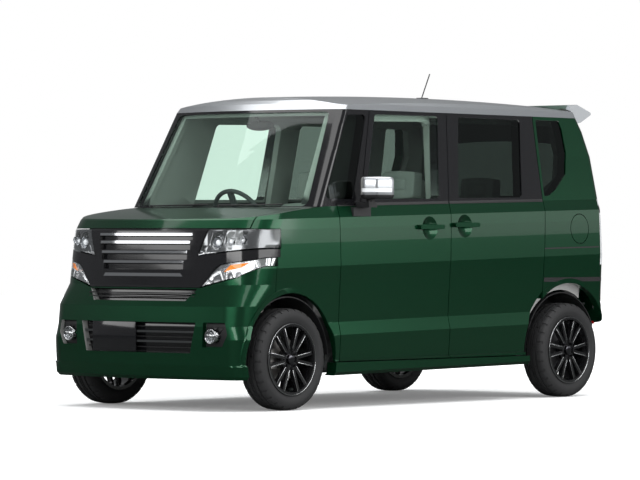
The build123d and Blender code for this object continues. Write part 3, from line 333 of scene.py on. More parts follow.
class Finish:
    """One material under construction, on Blender's own surface shader."""

    def __init__(self, name, colour, roughness, metallic=0.0, **constants):
        self.material = bpy.data.materials.new(name)
        self.material.use_nodes = True
        self.tree = self.material.node_tree
        self.shader = self.tree.nodes["Principled BSDF"]
        self.shader.inputs["Base Color"].default_value = (*colour, 1)
        self.shader.inputs["Roughness"].default_value = roughness
        self.shader.inputs["Metallic"].default_value = metallic
        for key, value in constants.items():
            self.shader.inputs[key.replace("_", " ")].default_value = value
        self.place = self.node("ShaderNodeTexCoord").outputs["Object"]

    def node(self, kind, settings=None, **sockets):
        """Adds a node with its settings, then the values or links of its sockets."""
        made = self.tree.nodes.new(kind)
        for key, value in (settings or {}).items():
            setattr(made, key, value)
        for key, value in sockets.items():
            slot = made.inputs[key.replace("_", " ")]
            if isinstance(value, Value):
                self.tree.links.new(value.socket, slot)
            elif isinstance(value, bpy.types.NodeSocket):
                self.tree.links.new(value, slot)
            else:
                slot.default_value = value
        return made

    def axis(self, name):
        """The x, y or z of a point of the surface."""
        split = self.node("ShaderNodeSeparateXYZ", Vector=self.place)
        return Value(self.tree, split.outputs[name.upper()])

    def noise(self, scale, detail=2.0):
        """Even cloudy variation between nothing and one."""
        made = self.node("ShaderNodeTexNoise", Vector=self.place, Scale=scale, Detail=detail)
        return Value(self.tree, made.outputs["Fac"])

    def mixed(self, share, first, second):
        """A colour between two colours."""
        made = self.node("ShaderNodeMix", {"data_type": "RGBA"})
        self.tree.links.new(share.socket, made.inputs["Factor"])
        colour_inputs = [slot for slot in made.inputs if slot.type == "RGBA"]
        for slot, value in zip(colour_inputs, (first, second)):
            if isinstance(value, bpy.types.NodeSocket):
                self.tree.links.new(value, slot)
            else:
                slot.default_value = (*value, 1)
        return next(slot for slot in made.outputs if slot.type == "RGBA")

    def feed(self, name, value):
        """Leads a value or a colour into the shader."""
        socket = value.socket if isinstance(value, Value) else value
        self.tree.links.new(socket, self.shader.inputs[name])

    def bump(self, height, strength, distance):
        """Small relief from a height value."""
        made = self.node("ShaderNodeBump", Strength=strength, Distance=distance, Height=height)
        self.tree.links.new(made.outputs[0], self.shader.inputs["Normal"])

    def waves(self, direction, scale):
        """Straight even waves across one axis."""
        made = self.node(
            "ShaderNodeTexWave", {"bands_direction": direction},
            Vector=self.place, Scale=scale, Distortion=0.0,
        )
        return Value(self.tree, made.outputs["Fac"])


# Settings that a user would change


class BodyLook(bpy.types.PropertyGroup):
    """Colours of the car"""

    green: bpy.props.FloatVectorProperty(
        name="Body green", description="Bright flakes in the body's paint", subtype="COLOR",
        default=(0.003, 0.075, 0.028),
    )
    green_deep: bpy.props.FloatVectorProperty(
        name="Body green, deep", description="Paint between the bright flakes", subtype="COLOR",
        default=(0.001, 0.034, 0.012),
    )
    silver: bpy.props.FloatVectorProperty(
        name="Roof silver", description="Bright flakes in the silver of roof, mirrors and spoiler",
        subtype="COLOR", default=(0.55, 0.57, 0.59),
    )
    silver_deep: bpy.props.FloatVectorProperty(
        name="Roof silver, deep", description="Silver between the bright flakes", subtype="COLOR",
        default=(0.36, 0.38, 0.40),
    )
    window_black: bpy.props.FloatVectorProperty(
        name="Window frame black", description="Doors above the belt and the pillars",
        subtype="COLOR", default=(0.006, 0.006, 0.007),
    )
    lining: bpy.props.FloatVectorProperty(
        name="Cabin lining", description="Inner faces of doors, roof and body", subtype="COLOR",
        default=(0.34, 0.34, 0.33),
    )
    clear_tint: bpy.props.FloatVectorProperty(
        name="Front glass tint", description="Windscreen and front door glass", subtype="COLOR",
        default=(0.90, 0.975, 0.935),
    )
    dark_tint: bpy.props.FloatVectorProperty(
        name="Rear glass tint", description="Glass behind the front doors", subtype="COLOR",
        default=(0.36, 0.40, 0.38),
    )


class TrimLook(bpy.types.PropertyGroup):
    """Sizes of what the looks add to the solids"""

    chrome_proud: bpy.props.FloatProperty(
        name="Bright bars", description="How far the bright bars stand out of the grille",
        default=0.003, unit="LENGTH",
    )
    lip_proud: bpy.props.FloatProperty(
        name="Arch lips", description="How far the wheel arch lips stand out", default=0.004,
        unit="LENGTH",
    )
    belt_proud: bpy.props.FloatProperty(
        name="Belt mouldings", description="How far the belt mouldings stand out", default=0.002,
        unit="LENGTH",
    )
    lens_wall: bpy.props.FloatProperty(
        name="Lens wall", description="Thickness of the clear lamp lenses", default=0.004,
        unit="LENGTH",
    )
    tread_depth: bpy.props.FloatProperty(
        name="Tread notches", description="Depth of the notches in the tread blocks",
        default=0.004, unit="LENGTH",
    )
    seam_depth: bpy.props.FloatProperty(
        name="Seat seams", description="Depth of the seams in the seat pads", default=0.012,
        unit="LENGTH",
    )


class StageLook(bpy.types.PropertyGroup):
    """Camera and light"""

    azimuth: bpy.props.FloatProperty(
        name="Azimuth", description="Way round the car, from straight ahead of it",
        subtype="ANGLE", default=math.radians(40.70),
    )
    focal: bpy.props.FloatProperty(
        name="Focal length", description="Lens in millimetres", default=218.0, unit="CAMERA"
    )
    sky: bpy.props.FloatProperty(
        name="Sky", description="Strength of the even light from all round", default=0.75
    )
    mirrored_sky: bpy.props.FloatProperty(
        name="Sky in reflections", description="Strength of the sky that paint and glass mirror",
        default=0.22,
    )


# Materials, with colours as linear red, green and blue

PAINT_ROUGH = 0.28
PAINT_METAL = 0.82
LINING_ROUGH = 0.88
LACQUER = 0.55
HEADLINING_Z = 1.5

# The cabin's inner body is lined behind the dash and above the floor, in y and in z
LINED_Y = (-0.96, -0.94)
LINED_Z = (0.50, 0.52)

# The tail lamps are red between these heights, clear outboard of the x, dark in the top band
RED_Z = ((0.93, 0.94), (1.08, 1.09))
CLEAR_X = (0.700, 0.712)
DARK_Z = ((1.10, 1.105), (1.145, 1.15))


def lined(finish, base):
    """Inner faces of doors and sides, and faces that look down, get the cabin's pale lining."""
    normal = finish.node("ShaderNodeTexCoord").outputs["Normal"]
    split = finish.node("ShaderNodeSeparateXYZ", Vector=normal)
    sideways = Value(finish.tree, split.outputs["X"]) * finish.axis("x")
    downwards = Value(finish.tree, split.outputs["Z"])
    high = finish.axis("z").above(HEADLINING_Z)
    inner = (-0.2 - sideways).above(0.0)
    roof = (-0.5 - downwards).above(0.0) * high
    share = inner.larger(roof)
    lining = bpy.context.scene.body_look.lining
    weave = finish.mixed(finish.noise(600.0), (0.16, 0.165, 0.16), lining)
    return share, finish.mixed(share, base, weave)


def paint(name, colour, deep, framed=False):
    """Metallic paint under clear lacquer, black on the window frames where asked."""
    finish = Finish(name, colour, PAINT_ROUGH, PAINT_METAL, Coat_Roughness=0.06, Coat_IOR=1.5)
    base = finish.mixed(finish.noise(900.0, 1.0), deep, colour)
    metal, rough = PAINT_METAL, PAINT_ROUGH
    if framed:
        line = (finish.axis("y") - BELT_FRONT[0]) * BELT_SLOPE + BELT_FRONT[1]
        band = (finish.axis("z") - line).above(0.0)
        base = finish.mixed(band, base, bpy.context.scene.body_look.window_black)
        metal, rough = PAINT_METAL - band * PAINT_METAL, PAINT_ROUGH - band * 0.2
    share, base = lined(finish, base)
    finish.feed("Metallic", (1.0 - share) * metal)
    finish.feed("Roughness", share * (LINING_ROUGH - PAINT_ROUGH) + rough)
    finish.feed("Coat Weight", (1.0 - share) * LACQUER)
    finish.feed("Base Color", base)
    return finish.material


def plain(name, colour, roughness, metallic=0.0, grain=0.0, scale=400.0, **constants):
    """A moulded, cast or plated surface with a little grain and uneven sheen."""
    finish = Finish(name, colour, roughness, metallic, **constants)
    clouds = finish.noise(scale, 3.0)
    finish.feed("Roughness", roughness + (clouds - 0.5) * min(0.12, roughness * 0.5))
    if grain:
        finish.bump(clouds, grain, 0.0006)
    return finish.material


def pane(name, tint):
    """A tinted pane: mirror-like at a glance, see-through by its tint."""
    finish = Finish(name, tint, 0.0)
    view = finish.node("ShaderNodeBsdfTransparent", Color=(*tint, 1))
    gloss = finish.node("ShaderNodeBsdfGlossy", Roughness=0.02, Color=(0.9, 0.95, 0.95, 1))
    fresnel = Value(finish.tree, finish.node("ShaderNodeFresnel", IOR=1.45).outputs[0])
    rear = Value(finish.tree, finish.node("ShaderNodeNewGeometry").outputs["Backfacing"])
    mix = finish.node("ShaderNodeMixShader", Fac=fresnel * (1.0 - rear))
    finish.tree.links.new(view.outputs[0], mix.inputs[1])
    finish.tree.links.new(gloss.outputs[0], mix.inputs[2])
    surface = finish.tree.nodes["Material Output"].inputs["Surface"]
    finish.tree.links.new(mix.outputs[0], surface)
    return finish.material


def inner_shell(lining):
    """Pressed inner body: pale lining in the cabin, dark coat low down and in the nose."""
    finish = Finish("inner_shell", lining, 0.85)
    cabin = finish.axis("y").rises(*LINED_Y) * finish.axis("z").rises(*LINED_Z)
    weave = finish.mixed(finish.noise(500.0), (0.22, 0.22, 0.215), lining)
    finish.feed("Base Color", finish.mixed(cabin, (0.02, 0.022, 0.022), weave))
    return finish.material


def ribbed(name, colour, roughness, metallic):
    """A surface with fine upright ribs."""
    finish = Finish(name, colour, roughness, metallic)
    finish.bump(finish.waves("X", 60.0), 0.7, 0.002)
    return finish.material


def tail_lens():
    """Rear lamp: clear above and below, red between, with fine ribs."""
    finish = Finish("tail_lens", (0.6, 0.6, 0.6), 0.1, Coat_Weight=1.0)
    z = finish.axis("z")
    wide = abs(finish.axis("x"))
    red = z.rises(*RED_Z[0]) * (1.0 - z.rises(*RED_Z[1])) * (1.0 - wide.rises(*CLEAR_X))
    dark = z.rises(*DARK_Z[0]) * (1.0 - z.rises(*DARK_Z[1]))
    pale = finish.mixed(red, (0.62, 0.64, 0.65), (0.40, 0.006, 0.006))
    finish.feed("Base Color", finish.mixed(dark, pale, (0.02, 0.02, 0.02)))
    finish.bump(finish.waves("Z", 45.0), 0.4, 0.0015)
    return finish.material


def make_finishes(look):
    """All materials by name."""
    return {
        "green": paint("green_paint", look.green, look.green_deep),
        "green_band": paint("green_paint_black_frames", look.green, look.green_deep, True),
        "silver": paint("silver_paint", look.silver, look.silver_deep),
        "black_gloss": plain("gloss_black", look.window_black, 0.10, Coat_Weight=0.3),
        "black_trim": plain("satin_black", (0.012, 0.012, 0.013), 0.45, grain=0.15),
        "chrome": plain("chrome", (0.62, 0.63, 0.65), 0.07, 1.0),
        "bezel": plain("lamp_bezel", (0.20, 0.205, 0.21), 0.2, 0.9),
        "dark_chrome": plain("dark_chrome", (0.10, 0.10, 0.11), 0.14, 1.0),
        "glass": pane("windscreen_glass", look.clear_tint),
        "privacy": pane("privacy_glass", look.dark_tint),
        "lens": pane("lamp_lens", (0.985, 0.99, 0.995)),
        "amber": plain("amber_lens", (0.85, 0.22, 0.01), 0.15, Coat_Weight=1.0),
        "red": plain("red_lens", (0.42, 0.008, 0.008), 0.12, Coat_Weight=1.0),
        "white": plain("clear_lens_white", (0.75, 0.77, 0.78), 0.15, Coat_Weight=1.0),
        "alloy": plain("black_alloy", (0.010, 0.010, 0.011), 0.16, 0.3, Coat_Weight=1.0),
        "machined": plain("machined_alloy", (0.62, 0.63, 0.64), 0.22, 1.0, scale=1500.0),
        "steel": plain("dark_steel", (0.09, 0.09, 0.095), 0.5, 0.7, grain=0.2),
        "iron": plain("brake_iron", (0.28, 0.27, 0.26), 0.38, 0.9, grain=0.1),
        "aluminium": plain("cast_aluminium", (0.38, 0.38, 0.39), 0.45, 0.9, grain=0.3),
        "rubber": plain("tyre_rubber", (0.016, 0.016, 0.017), 0.68, grain=0.3, scale=260.0),
        "moulded": plain("moulded_dash", (0.10, 0.105, 0.11), 0.6, grain=0.4, scale=700.0),
        "cloth": plain("seat_cloth", (0.36, 0.37, 0.36), 0.9, grain=0.6, scale=1200.0),
        "under": plain("underbody_coat", (0.02, 0.022, 0.022), 0.7, grain=0.4, scale=120.0),
        "shell": inner_shell(look.lining),
        "reflector": ribbed("lamp_reflector", (0.80, 0.81, 0.82), 0.12, 1.0),
        "tail": tail_lens(),
        "mesh": ribbed("grille_mesh", (0.008, 0.008, 0.009), 0.5, 0.0),
    }


FINISHES = {}
FINISHED_NODES = {
    "green": (
        "hood", "front_fenders", "front_bumper", "rear_bumper", "side_skirts", "fuel_lid",
        "quarter_panels", "tailgate",
    ),
    "green_band": ("sliding_doors", "front_door_left", "front_door_right"),
    "silver": ("roof", "rear_spoiler", "mirror_left", "mirror_right"),
    "black_gloss": ("windscreen_frame", "grille"),
    "black_trim": (
        "cowl", "wheel_liners", "mirror_base_left", "mirror_base_right", "wipers", "antenna",
    ),
    "glass": ("windscreen", "front_door_glass_left", "front_door_glass_right"),
    "privacy": ("sliding_door_glass", "tailgate_glass", "fixed_side_glass"),
    "lens": ("front_lamps",),
    "tail": ("tail_lamps",),
    "shell": ("body_frame",),
    "under": ("floor_pan", "fuel_tank"),
    "steel": ("front_subframe", "steering_rack", "exhaust", "rear_axle"),
    "iron": ("front_knuckle_left", "front_knuckle_right"),
    "aluminium": ("engine_block",),
    "moulded": ("steering_column", "steering_wheel", "dashboard"),
    "cloth": ("front_seats", "rear_seats"),
    "rubber": tuple(f"tyre_{corner}" for corner in CORNERS),
    "alloy": tuple(f"rim_{corner}" for corner in CORNERS),
}


class CAR_OT_finishes(bpy.types.Operator):
    """Gives every solid its finish"""

    bl_idname = "car.finishes"
    bl_label = "Finishes"

    def execute(self, context):
        FINISHES.update(make_finishes(context.scene.body_look))
        bare = set(NODES)
        for finish, names in FINISHED_NODES.items():
            for name in names:
                NODES[name].data.materials.clear()
                NODES[name].data.materials.append(FINISHES[finish])
                bare.discard(name)
        if bare:
            raise RuntimeError(f"no finish for {sorted(bare)}")
        return {"FINISHED"}


# Grille, bars and slats across the nose: the low edge, the high edge and half the width

BRIGHT_BARS = (
    (0.960, 0.974, 0.350), (0.917, 0.931, 0.338), (0.863, 0.877, 0.322), (0.809, 0.823, 0.302),
)
FRAME_SIDE = ((0.368, 0.976), (0.352, 0.976), (0.282, 0.750), (0.300, 0.736))
FRAME_FOOT = ((-0.300, 0.736), (0.300, 0.736), (0.284, 0.754), (-0.284, 0.754))
CHIN_STRIP = ((-0.410, 0.678), (0.410, 0.678), (0.413, 0.688), (-0.413, 0.688))

NOSE_BOW = 3.4
BOW_CUTS = 11
SLATS = ((0.374, 0.386, 0.405), (0.428, 0.440, 0.418))
SLAT_Y = -1.690
SLAT_DEEP = 0.016
MESH_HEIGHTS = (0.345, 0.402, 0.458, 0.622, 0.642)
MESH_THICK = 0.006
MESH_HALF = 0.40
MESH_Y = -1.668
MESH_DEEP = 0.008
FRONT_PLATE = ((-0.320, -1.6972, 0.320), (0.008, -1.6890, 0.486))
PLATE_EDGE = 0.0025


def chrome_bars(proud):
    """The grille's bright bars, its U-shaped frame and the strip under it."""
    outlines = [[(-w, a), (w, a), (w, b), (-w, b)] for a, b, w in BRIGHT_BARS]
    outlines += [FRAME_SIDE, beside(FRAME_SIDE, -1), FRAME_FOOT, CHIN_STRIP]
    return joined([skin("grille", "Y", each, NOSE_FRONT, GRILLE_BACK, proud) for each in outlines])


def bowed_bar(low_z, high_z, half, nose_y, deep):
    """A slat across the air intake, bowed like the bumper."""
    bar = box((-half, 0, low_z), (half, deep, high_z))
    edit_all()
    bpy.ops.mesh.subdivide(number_cuts=BOW_CUTS)
    edit_done()
    for vertex in bar.data.vertices:
        vertex.co.y += nose_y + NOSE_BOW - math.sqrt(NOSE_BOW**2 - vertex.co.x**2)
    return bar


class CAR_OT_grille(bpy.types.Operator):
    """Bright grille bars, intake slats and the blank front plate"""

    bl_idname = "car.grille"
    bl_label = "Grille"

    def execute(self, context):
        bars = chrome_bars(context.scene.trim_look.chrome_proud)
        settle(bars, "grille_chrome", "chrome", "car")
        slats = [bowed_bar(*slat, SLAT_Y, SLAT_DEEP) for slat in SLATS]
        settle(joined(slats), "intake_slats", "chrome", "car")
        ribs = [bowed_bar(z, z + MESH_THICK, MESH_HALF, MESH_Y, MESH_DEEP) for z in MESH_HEIGHTS]
        settle(joined(ribs), "intake_mesh", "mesh", "car")
        settle(box(*FRONT_PLATE, PLATE_EDGE), "front_blank_plate", "black_gloss", "car")
        return {"FINISHED"}


# Lamps: each headlamp's three bowls as x, z and radius, then the outlines beside the nose

LENSES = ((0.504, 0.922, 0.035), (0.577, 0.929, 0.026), (0.632, 0.934, 0.020))
LENS_SPLIT_Z = 0.870
CAVITY_REACH = 0.030
BOWL_SHARE = 0.96
BOWL_FLAT = 0.8
BOWL_WALL = 0.001
BOWL_BACK = 0.008
BULB_SHARE = 0.5
BULB_BACK = 0.018
RIM_BACK = 0.009
RIM_THICK = 0.0016

FOG_LAMP = (0.537, 0.411)
FOG_RIM_BACK = 0.002
FOG_RIM_RADIUS = 0.037
FOG_RIM_THICK = 0.004
FOG_BEZEL = ((0.478, 0.356), (0.484, 0.484), (0.615, 0.484), (0.630, 0.420), (0.597, 0.356))
FOG_BEZEL_PROUD = 0.001
SIGNAL = ((0.555, 0.762), (0.640, 0.786), (0.672, 0.812), (0.590, 0.800))
SIGNAL_INSET = -0.003
ACROSS = (0, 1, 0)


def halved(piece, z, keep_above):
    """Cuts a mesh at a height and closes it."""
    pick(piece)
    edit_all()
    bpy.ops.mesh.bisect(
        plane_co=(0, 0, z), plane_no=(0, 0, 1), use_fill=True,
        clear_inner=keep_above, clear_outer=not keep_above,
    )
    edit_done()
    return piece


def bowl(x, y, z, radius):
    """An open reflector bowl that looks forward."""
    piece = ball((x, y, z), (radius, radius * BOWL_FLAT, radius))
    edit_all()
    bpy.ops.mesh.bisect(plane_co=(x, y, z), plane_no=ACROSS, clear_inner=True)
    edit_done()
    modify(piece, "SOLIDIFY", thickness=BOWL_WALL)
    return piece


class CAR_OT_lamps(bpy.types.Operator):
    """Housings, reflectors and bulbs behind the clear lamp lenses"""

    bl_idname = "car.lamps"
    bl_label = "Lamps"

    def execute(self, context):
        wall = context.scene.trim_look.lens_wall
        housing = halved(swollen(copied("front_lamps"), -wall), LENS_SPLIT_Z, True)
        bowls, bulbs, rims = [], [], []
        for side in SIDES:
            for across, z, radius in LENSES:
                x = side * across
                y = surface_y("front_lamps", x, z)
                cavity = rod((x, y - CAVITY_REACH, z), (x, y + CAVITY_REACH, z), radius)
                trimmed(housing, "DIFFERENCE", cavity)
                bowls.append(bowl(x, y + BOWL_BACK, z, radius * BOWL_SHARE))
                bulbs.append(ball((x, y + BULB_BACK, z), (radius * BULB_SHARE,) * 3))
                rims.append(ring((x, y + RIM_BACK, z), ACROSS, radius * BOWL_SHARE, RIM_THICK))
            fog_x, fog_z = side * FOG_LAMP[0], FOG_LAMP[1]
            fog_y = surface_y("front_lamps", fog_x, fog_z) + FOG_RIM_BACK
            rims.append(ring((fog_x, fog_y, fog_z), ACROSS, FOG_RIM_RADIUS, FOG_RIM_THICK))
        settle(housing, "headlamp_housings", "bezel", "car")
        settle(joined(bowls + rims), "headlamp_reflectors", "chrome", "car")
        settle(joined(bulbs), "headlamp_projectors", "white", "car")
        lower = halved(swollen(copied("front_lamps"), -wall), LENS_SPLIT_Z, False)
        settle(lower, "lower_lamp_reflectors", "reflector", "car")
        signals = [
            skin("front_lamps", "Y", beside(SIGNAL, side), NOSE_FRONT, LAMP_BACK, SIGNAL_INSET)
            for side in SIDES
        ]
        settle(joined(signals), "turn_signals", "amber", "car")
        bezels = [
            skin("front_bumper", "Y", beside(FOG_BEZEL, side), NOSE_FRONT, BUMPER_BACK, FOG_BEZEL_PROUD)
            for side in SIDES
        ]
        settle(joined(bezels), "fog_lamp_bezels", "black_trim", "car")
        return {"FINISHED"}


# Side trim: strips along the car as a start and an end in y, with heights from the belt

FRONT_LIP = (0.366, 0.394)
REAR_LIP = (0.402, 0.428)
LIP_STEPS = 36
LIP_DROP = 0.03
BELT_LOW = -0.006
BELT_HIGH = 0.010
DOOR_BELT_Y = (-0.800, 0.184)
SLIDING_BELT_Y = (0.194, 1.074)
RAIL = ((1.064, 0.884), (1.600, 0.894), (1.600, 0.902), (1.064, 0.892))
BUMPER_BAND = ((1.064, 0.690), (1.690, 0.690), (1.690, 0.7155), (1.064, 0.7155))
RAIL_PROUD = 0.001


def arch_lip(axle_y, inner, outer):
    """Half a ring round a wheel, as a side outline that starts and ends just below the axle."""
    whole = 1 + 2 * LIP_DROP
    angles = [math.pi * (step / LIP_STEPS * whole - LIP_DROP) for step in range(LIP_STEPS + 1)]
    low = [(axle_y + inner * math.cos(a), AXLE_Z + inner * math.sin(a)) for a in angles]
    high = [(axle_y + outer * math.cos(a), AXLE_Z + outer * math.sin(a)) for a in reversed(angles)]
    return low + high


def belt_strip(front, rear):
    """A moulding along the belt, as a side outline."""
    corners = ((front, BELT_LOW), (rear, BELT_LOW), (rear, BELT_HIGH), (front, BELT_HIGH))
    return [(y, belt_z(y) + rise) for y, rise in corners]


def copied_piece(piece, side=1):
    """A copy of a piece with its own mesh, mirrored to the other side where side is -1."""
    start()
    twin = piece.copy()
    twin.data = piece.data.copy()
    bpy.context.collection.objects.link(twin)
    if side < 0:
        twin.data.transform(Matrix.Scale(-1, 4, (1, 0, 0)))
        twin.data.flip_normals()
    return twin


class CAR_OT_side_trim(bpy.types.Operator):
    """Wheel arch lips, belt mouldings, door rail and bumper garnish"""

    bl_idname = "car.side_trim"
    bl_label = "Side trim"

    def execute(self, context):
        trim = context.scene.trim_look
        front, rear = arch_lip(FRONT_AXLE_Y, *FRONT_LIP), arch_lip(REAR_AXLE_Y, *REAR_LIP)
        arches = (
            ("front_fenders", front), ("front_bumper", front), ("sliding_doors", rear),
            ("quarter_panels", rear), ("rear_bumper", rear),
        )
        lips = [skin(node, "X", form, ARCH_IN, SIDE_OUT, trim.lip_proud) for node, form in arches]
        settle(mirrored(joined(lips)), "wheel_arch_lips", "green", "car")
        strip = belt_strip(*DOOR_BELT_Y)
        left = skin("front_door_left", "X", strip, DOOR_IN, SIDE_OUT, trim.belt_proud)
        right = copied_piece(left, -1)
        settle(left, "door_belt_left", "black_trim", "front_door_left")
        settle(right, "door_belt_right", "black_trim", "front_door_right")
        strip = belt_strip(*SLIDING_BELT_Y)
        rails = [
            skin("sliding_doors", "X", strip, DOOR_IN, SIDE_OUT, trim.belt_proud),
            skin("quarter_panels", "X", RAIL, DOOR_IN, SIDE_OUT, RAIL_PROUD),
            skin("rear_bumper", "X", BUMPER_BAND, DOOR_IN, SIDE_OUT, RAIL_PROUD),
        ]
        settle(mirrored(joined(rails)), "side_mouldings", "black_trim", "car")
        return {"FINISHED"}


# Mirrors: the left housing's outline from above, then heights and the glass

MIRROR_PLAN = (
    (0.748, -0.655), (0.742, -0.575), (0.890, -0.520), (0.898, -0.560), (0.866, -0.650),
    (0.790, -0.684),
)
MIRROR_LOW = 1.168
MIRROR_HIGH = 1.291
MIRROR_ROUND = 0.018
MIRROR_FACETS = 4
FOOT_HIGH = 1.190
FOOT_PROUD = 0.0006
SIGNAL_STRIP = ((0.77, -0.70, 1.205), (0.92, -0.555, 1.226))
STRIP_PROUD = 0.0008
MIRROR_GLASS = ((-0.060, -0.001, -0.046), (0.060, 0.001, 0.046))
MIRROR_GLASS_EDGE = 0.0008
MIRROR_GLASS_PLACE = (0.8155, -0.5470, 1.232)
MIRROR_GLASS_TURN = math.atan2(0.055, 0.148)


class CAR_OT_mirrors(bpy.types.Operator):
    """Rounded mirror housings with signal strips and glasses"""

    bl_idname = "car.mirrors"
    bl_label = "Mirrors"

    def execute(self, context):
        cover = prism(MIRROR_PLAN, "Z", MIRROR_LOW, MIRROR_HIGH)
        modify(cover, "BEVEL", width=MIRROR_ROUND, segments=MIRROR_FACETS, limit_method="ANGLE")
        strip = swollen(copied_piece(cover), STRIP_PROUD)
        trimmed(strip, "INTERSECT", box(*SIGNAL_STRIP))
        foot = halved(swollen(copied_piece(cover), FOOT_PROUD), FOOT_HIGH, False)
        glass = box(*MIRROR_GLASS, MIRROR_GLASS_EDGE)
        turn = Matrix.Rotation(MIRROR_GLASS_TURN, 4, "Z")
        glass.data.transform(Matrix.Translation(MIRROR_GLASS_PLACE) @ turn)
        parts = (
            ("cover", cover, "silver"), ("signal", strip, "white"), ("foot", foot, "black_trim"),
            ("glass", glass, "chrome"),
        )
        for name, piece, finish in parts:
            twin = copied_piece(piece, -1)
            settle(piece, f"mirror_{name}_left", finish, "mirror_left")
            settle(twin, f"mirror_{name}_right", finish, "mirror_right")
            if name == "cover":
                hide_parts("mirror_left")
                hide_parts("mirror_right")
        return {"FINISHED"}


# Wheels turn about the X axis, with the outer side at +X. The first table is half the tyre's
# section as x and radius, from the bead over the shoulder to the middle of the tread.

TYRE_HALF = (
    (0.066, 0.190), (0.0715, 0.2035), (0.0795, 0.222), (0.0822, 0.238), (0.0800, 0.252),
    (0.0750, 0.264), (0.0690, 0.2725), (0.0600, 0.2775), (0.0415, 0.2795), (0.0400, 0.2725),
    (0.0330, 0.2725), (0.0315, 0.2800), (0.0110, 0.2808), (0.0095, 0.2735), (0.0035, 0.2735),
    (0.0020, 0.2809),
)
TYRE_STEPS = 120
SHOULDER_X = (0.0440, 0.0720)
SHOULDER_RADIUS = 0.268
RIB_X = (0.014, 0.030)
RIB_RADIUS = 0.278
NOTCH_EDGE = 0.0012
SHOULDER_EVERY = 4
RIB_EVERY = 8
RIB_START = 2

# Spoke faces, then the bright line round the rim as its x, radius, thickness and facets
SPOKE_PAIRS = 6
SPOKE_SPREAD = 10
SPOKE_FACE = (0.0676, 0.0688)
SPOKE_REACH = (0.060, 0.181)
SPOKE_OFFSET = 0.0086
SPOKE_LINE = 0.0020
SPOKE_EDGE = 0.0004
RIM_LINE = (0.0758, 0.1965, 0.0014, 96, 8)

# The hub cap and the nuts taper from a base to a top, each as its x and radius
CAP_BASE = (0.0570, 0.030)
CAP_TOP = (0.0700, 0.026)
CAP_SIDES = 40
NUT_SIDES = 6
CAP_CROWN = ((0.0695, 0, 0), (0.004, 0.025, 0.025))
NUTS = 4
NUT_PITCH = 0.048
NUT_BASE = (0.0575, 0.0095)
NUT_TOP = (0.0740, 0.0080)


def tyre(notch):
    """A tyre about the X axis with four grooves, and notches in its shoulders and ribs."""
    outline = [*TYRE_HALF, *((-x, r) for x, r in reversed(TYRE_HALF))]
    start()
    bpy.ops.mesh.primitive_circle_add(vertices=len(outline), radius=1)
    piece = bpy.context.object
    for vertex, (x, r) in zip(piece.data.vertices, outline):
        vertex.co = (x, 0, r)
    edit_all()
    bpy.ops.mesh.spin(steps=TYRE_STEPS, angle=2 * math.pi, center=(0, 0, 0), axis=(1, 0, 0))
    bpy.ops.mesh.select_all(action="SELECT")
    bpy.ops.mesh.remove_doubles(threshold=SPIN_MERGE_REACH)
    bpy.ops.mesh.normals_make_consistent(inside=False)
    bpy.ops.mesh.select_all(action="DESELECT")
    edit_done()
    for face in piece.data.polygons:
        x, y, z = face.center
        turns = math.atan2(z, y) % (2 * math.pi) / (2 * math.pi)
        step = int(round(turns * TYRE_STEPS - 0.5))
        radius = math.hypot(y, z)
        shoulder = SHOULDER_X[0] < abs(x) < SHOULDER_X[1] and radius > SHOULDER_RADIUS
        rib = RIB_X[0] < abs(x) < RIB_X[1] and radius > RIB_RADIUS
        in_shoulder = shoulder and step % SHOULDER_EVERY == 0
        in_rib = rib and step % RIB_EVERY == RIB_START
        face.select = in_shoulder or in_rib
    edit_faces()
    bpy.ops.mesh.inset(thickness=NOTCH_EDGE, depth=-notch)
    edit_done()
    return piece


def turned(piece, degrees):
    """Turns a mesh about the X axis."""
    piece.data.transform(Matrix.Rotation(math.radians(degrees), 4, "X"))
    return piece


def wheel_edges():
    """The machined edges of the twin spokes and the bright line round the rim."""
    strips = []
    for index in range(SPOKE_PAIRS):
        for side in SIDES:
            middle = SPOKE_OFFSET * side
            low = (SPOKE_FACE[0], SPOKE_REACH[0], middle - SPOKE_LINE)
            high = (SPOKE_FACE[1], SPOKE_REACH[1], middle + SPOKE_LINE)
            angle = index * 360 / SPOKE_PAIRS + side * SPOKE_SPREAD
            strips.append(turned(box(low, high, SPOKE_EDGE), angle))
    strips.append(ring((RIM_LINE[0], 0, 0), (1, 0, 0), *RIM_LINE[1:]))
    return joined(strips)


def wheel_centre():
    """The bare hub cap and its wheel nuts."""
    cap = rod((CAP_BASE[0], 0, 0), (CAP_TOP[0], 0, 0), CAP_BASE[1], CAP_SIDES, CAP_TOP[1])
    parts = [cap, ball(*CAP_CROWN)]
    for index in range(NUTS):
        foot, head = (NUT_BASE[0], NUT_PITCH, 0), (NUT_TOP[0], NUT_PITCH, 0)
        nut = rod(foot, head, NUT_BASE[1], NUT_SIDES, NUT_TOP[1])
        parts.append(turned(nut, (index + 0.5) * 360 / NUTS))
    return joined(parts)


class CAR_OT_wheels(bpy.types.Operator):
    """Tyres with tread, bright spoke edges, hub caps and wheel nuts"""

    bl_idname = "car.wheels"
    bl_label = "Wheels"

    def execute(self, context):
        forms = (
            ("tyre", tyre(context.scene.trim_look.tread_depth), "rubber"),
            ("edges", wheel_edges(), "machined"), ("centre", wheel_centre(), "dark_chrome"),
        )
        for kind, form, finish in forms:
            for corner in CORNERS:
                side = 1 if corner.endswith("left") else -1
                axle_y = FRONT_AXLE_Y if corner.startswith("front") else REAR_AXLE_Y
                piece = copied_piece(form, side)
                piece.data.transform(Matrix.Translation((side * WHEEL_X, axle_y, AXLE_Z)))
                settle(piece, f"wheel_{kind}_{corner}", finish, f"wheel_{corner}")
                if kind == "tyre":
                    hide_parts(f"tyre_{corner}")
            bpy.data.objects.remove(form)
        return {"FINISHED"}


# Seats: each row's node, the seats' x, front edge, hip height, width and height of back

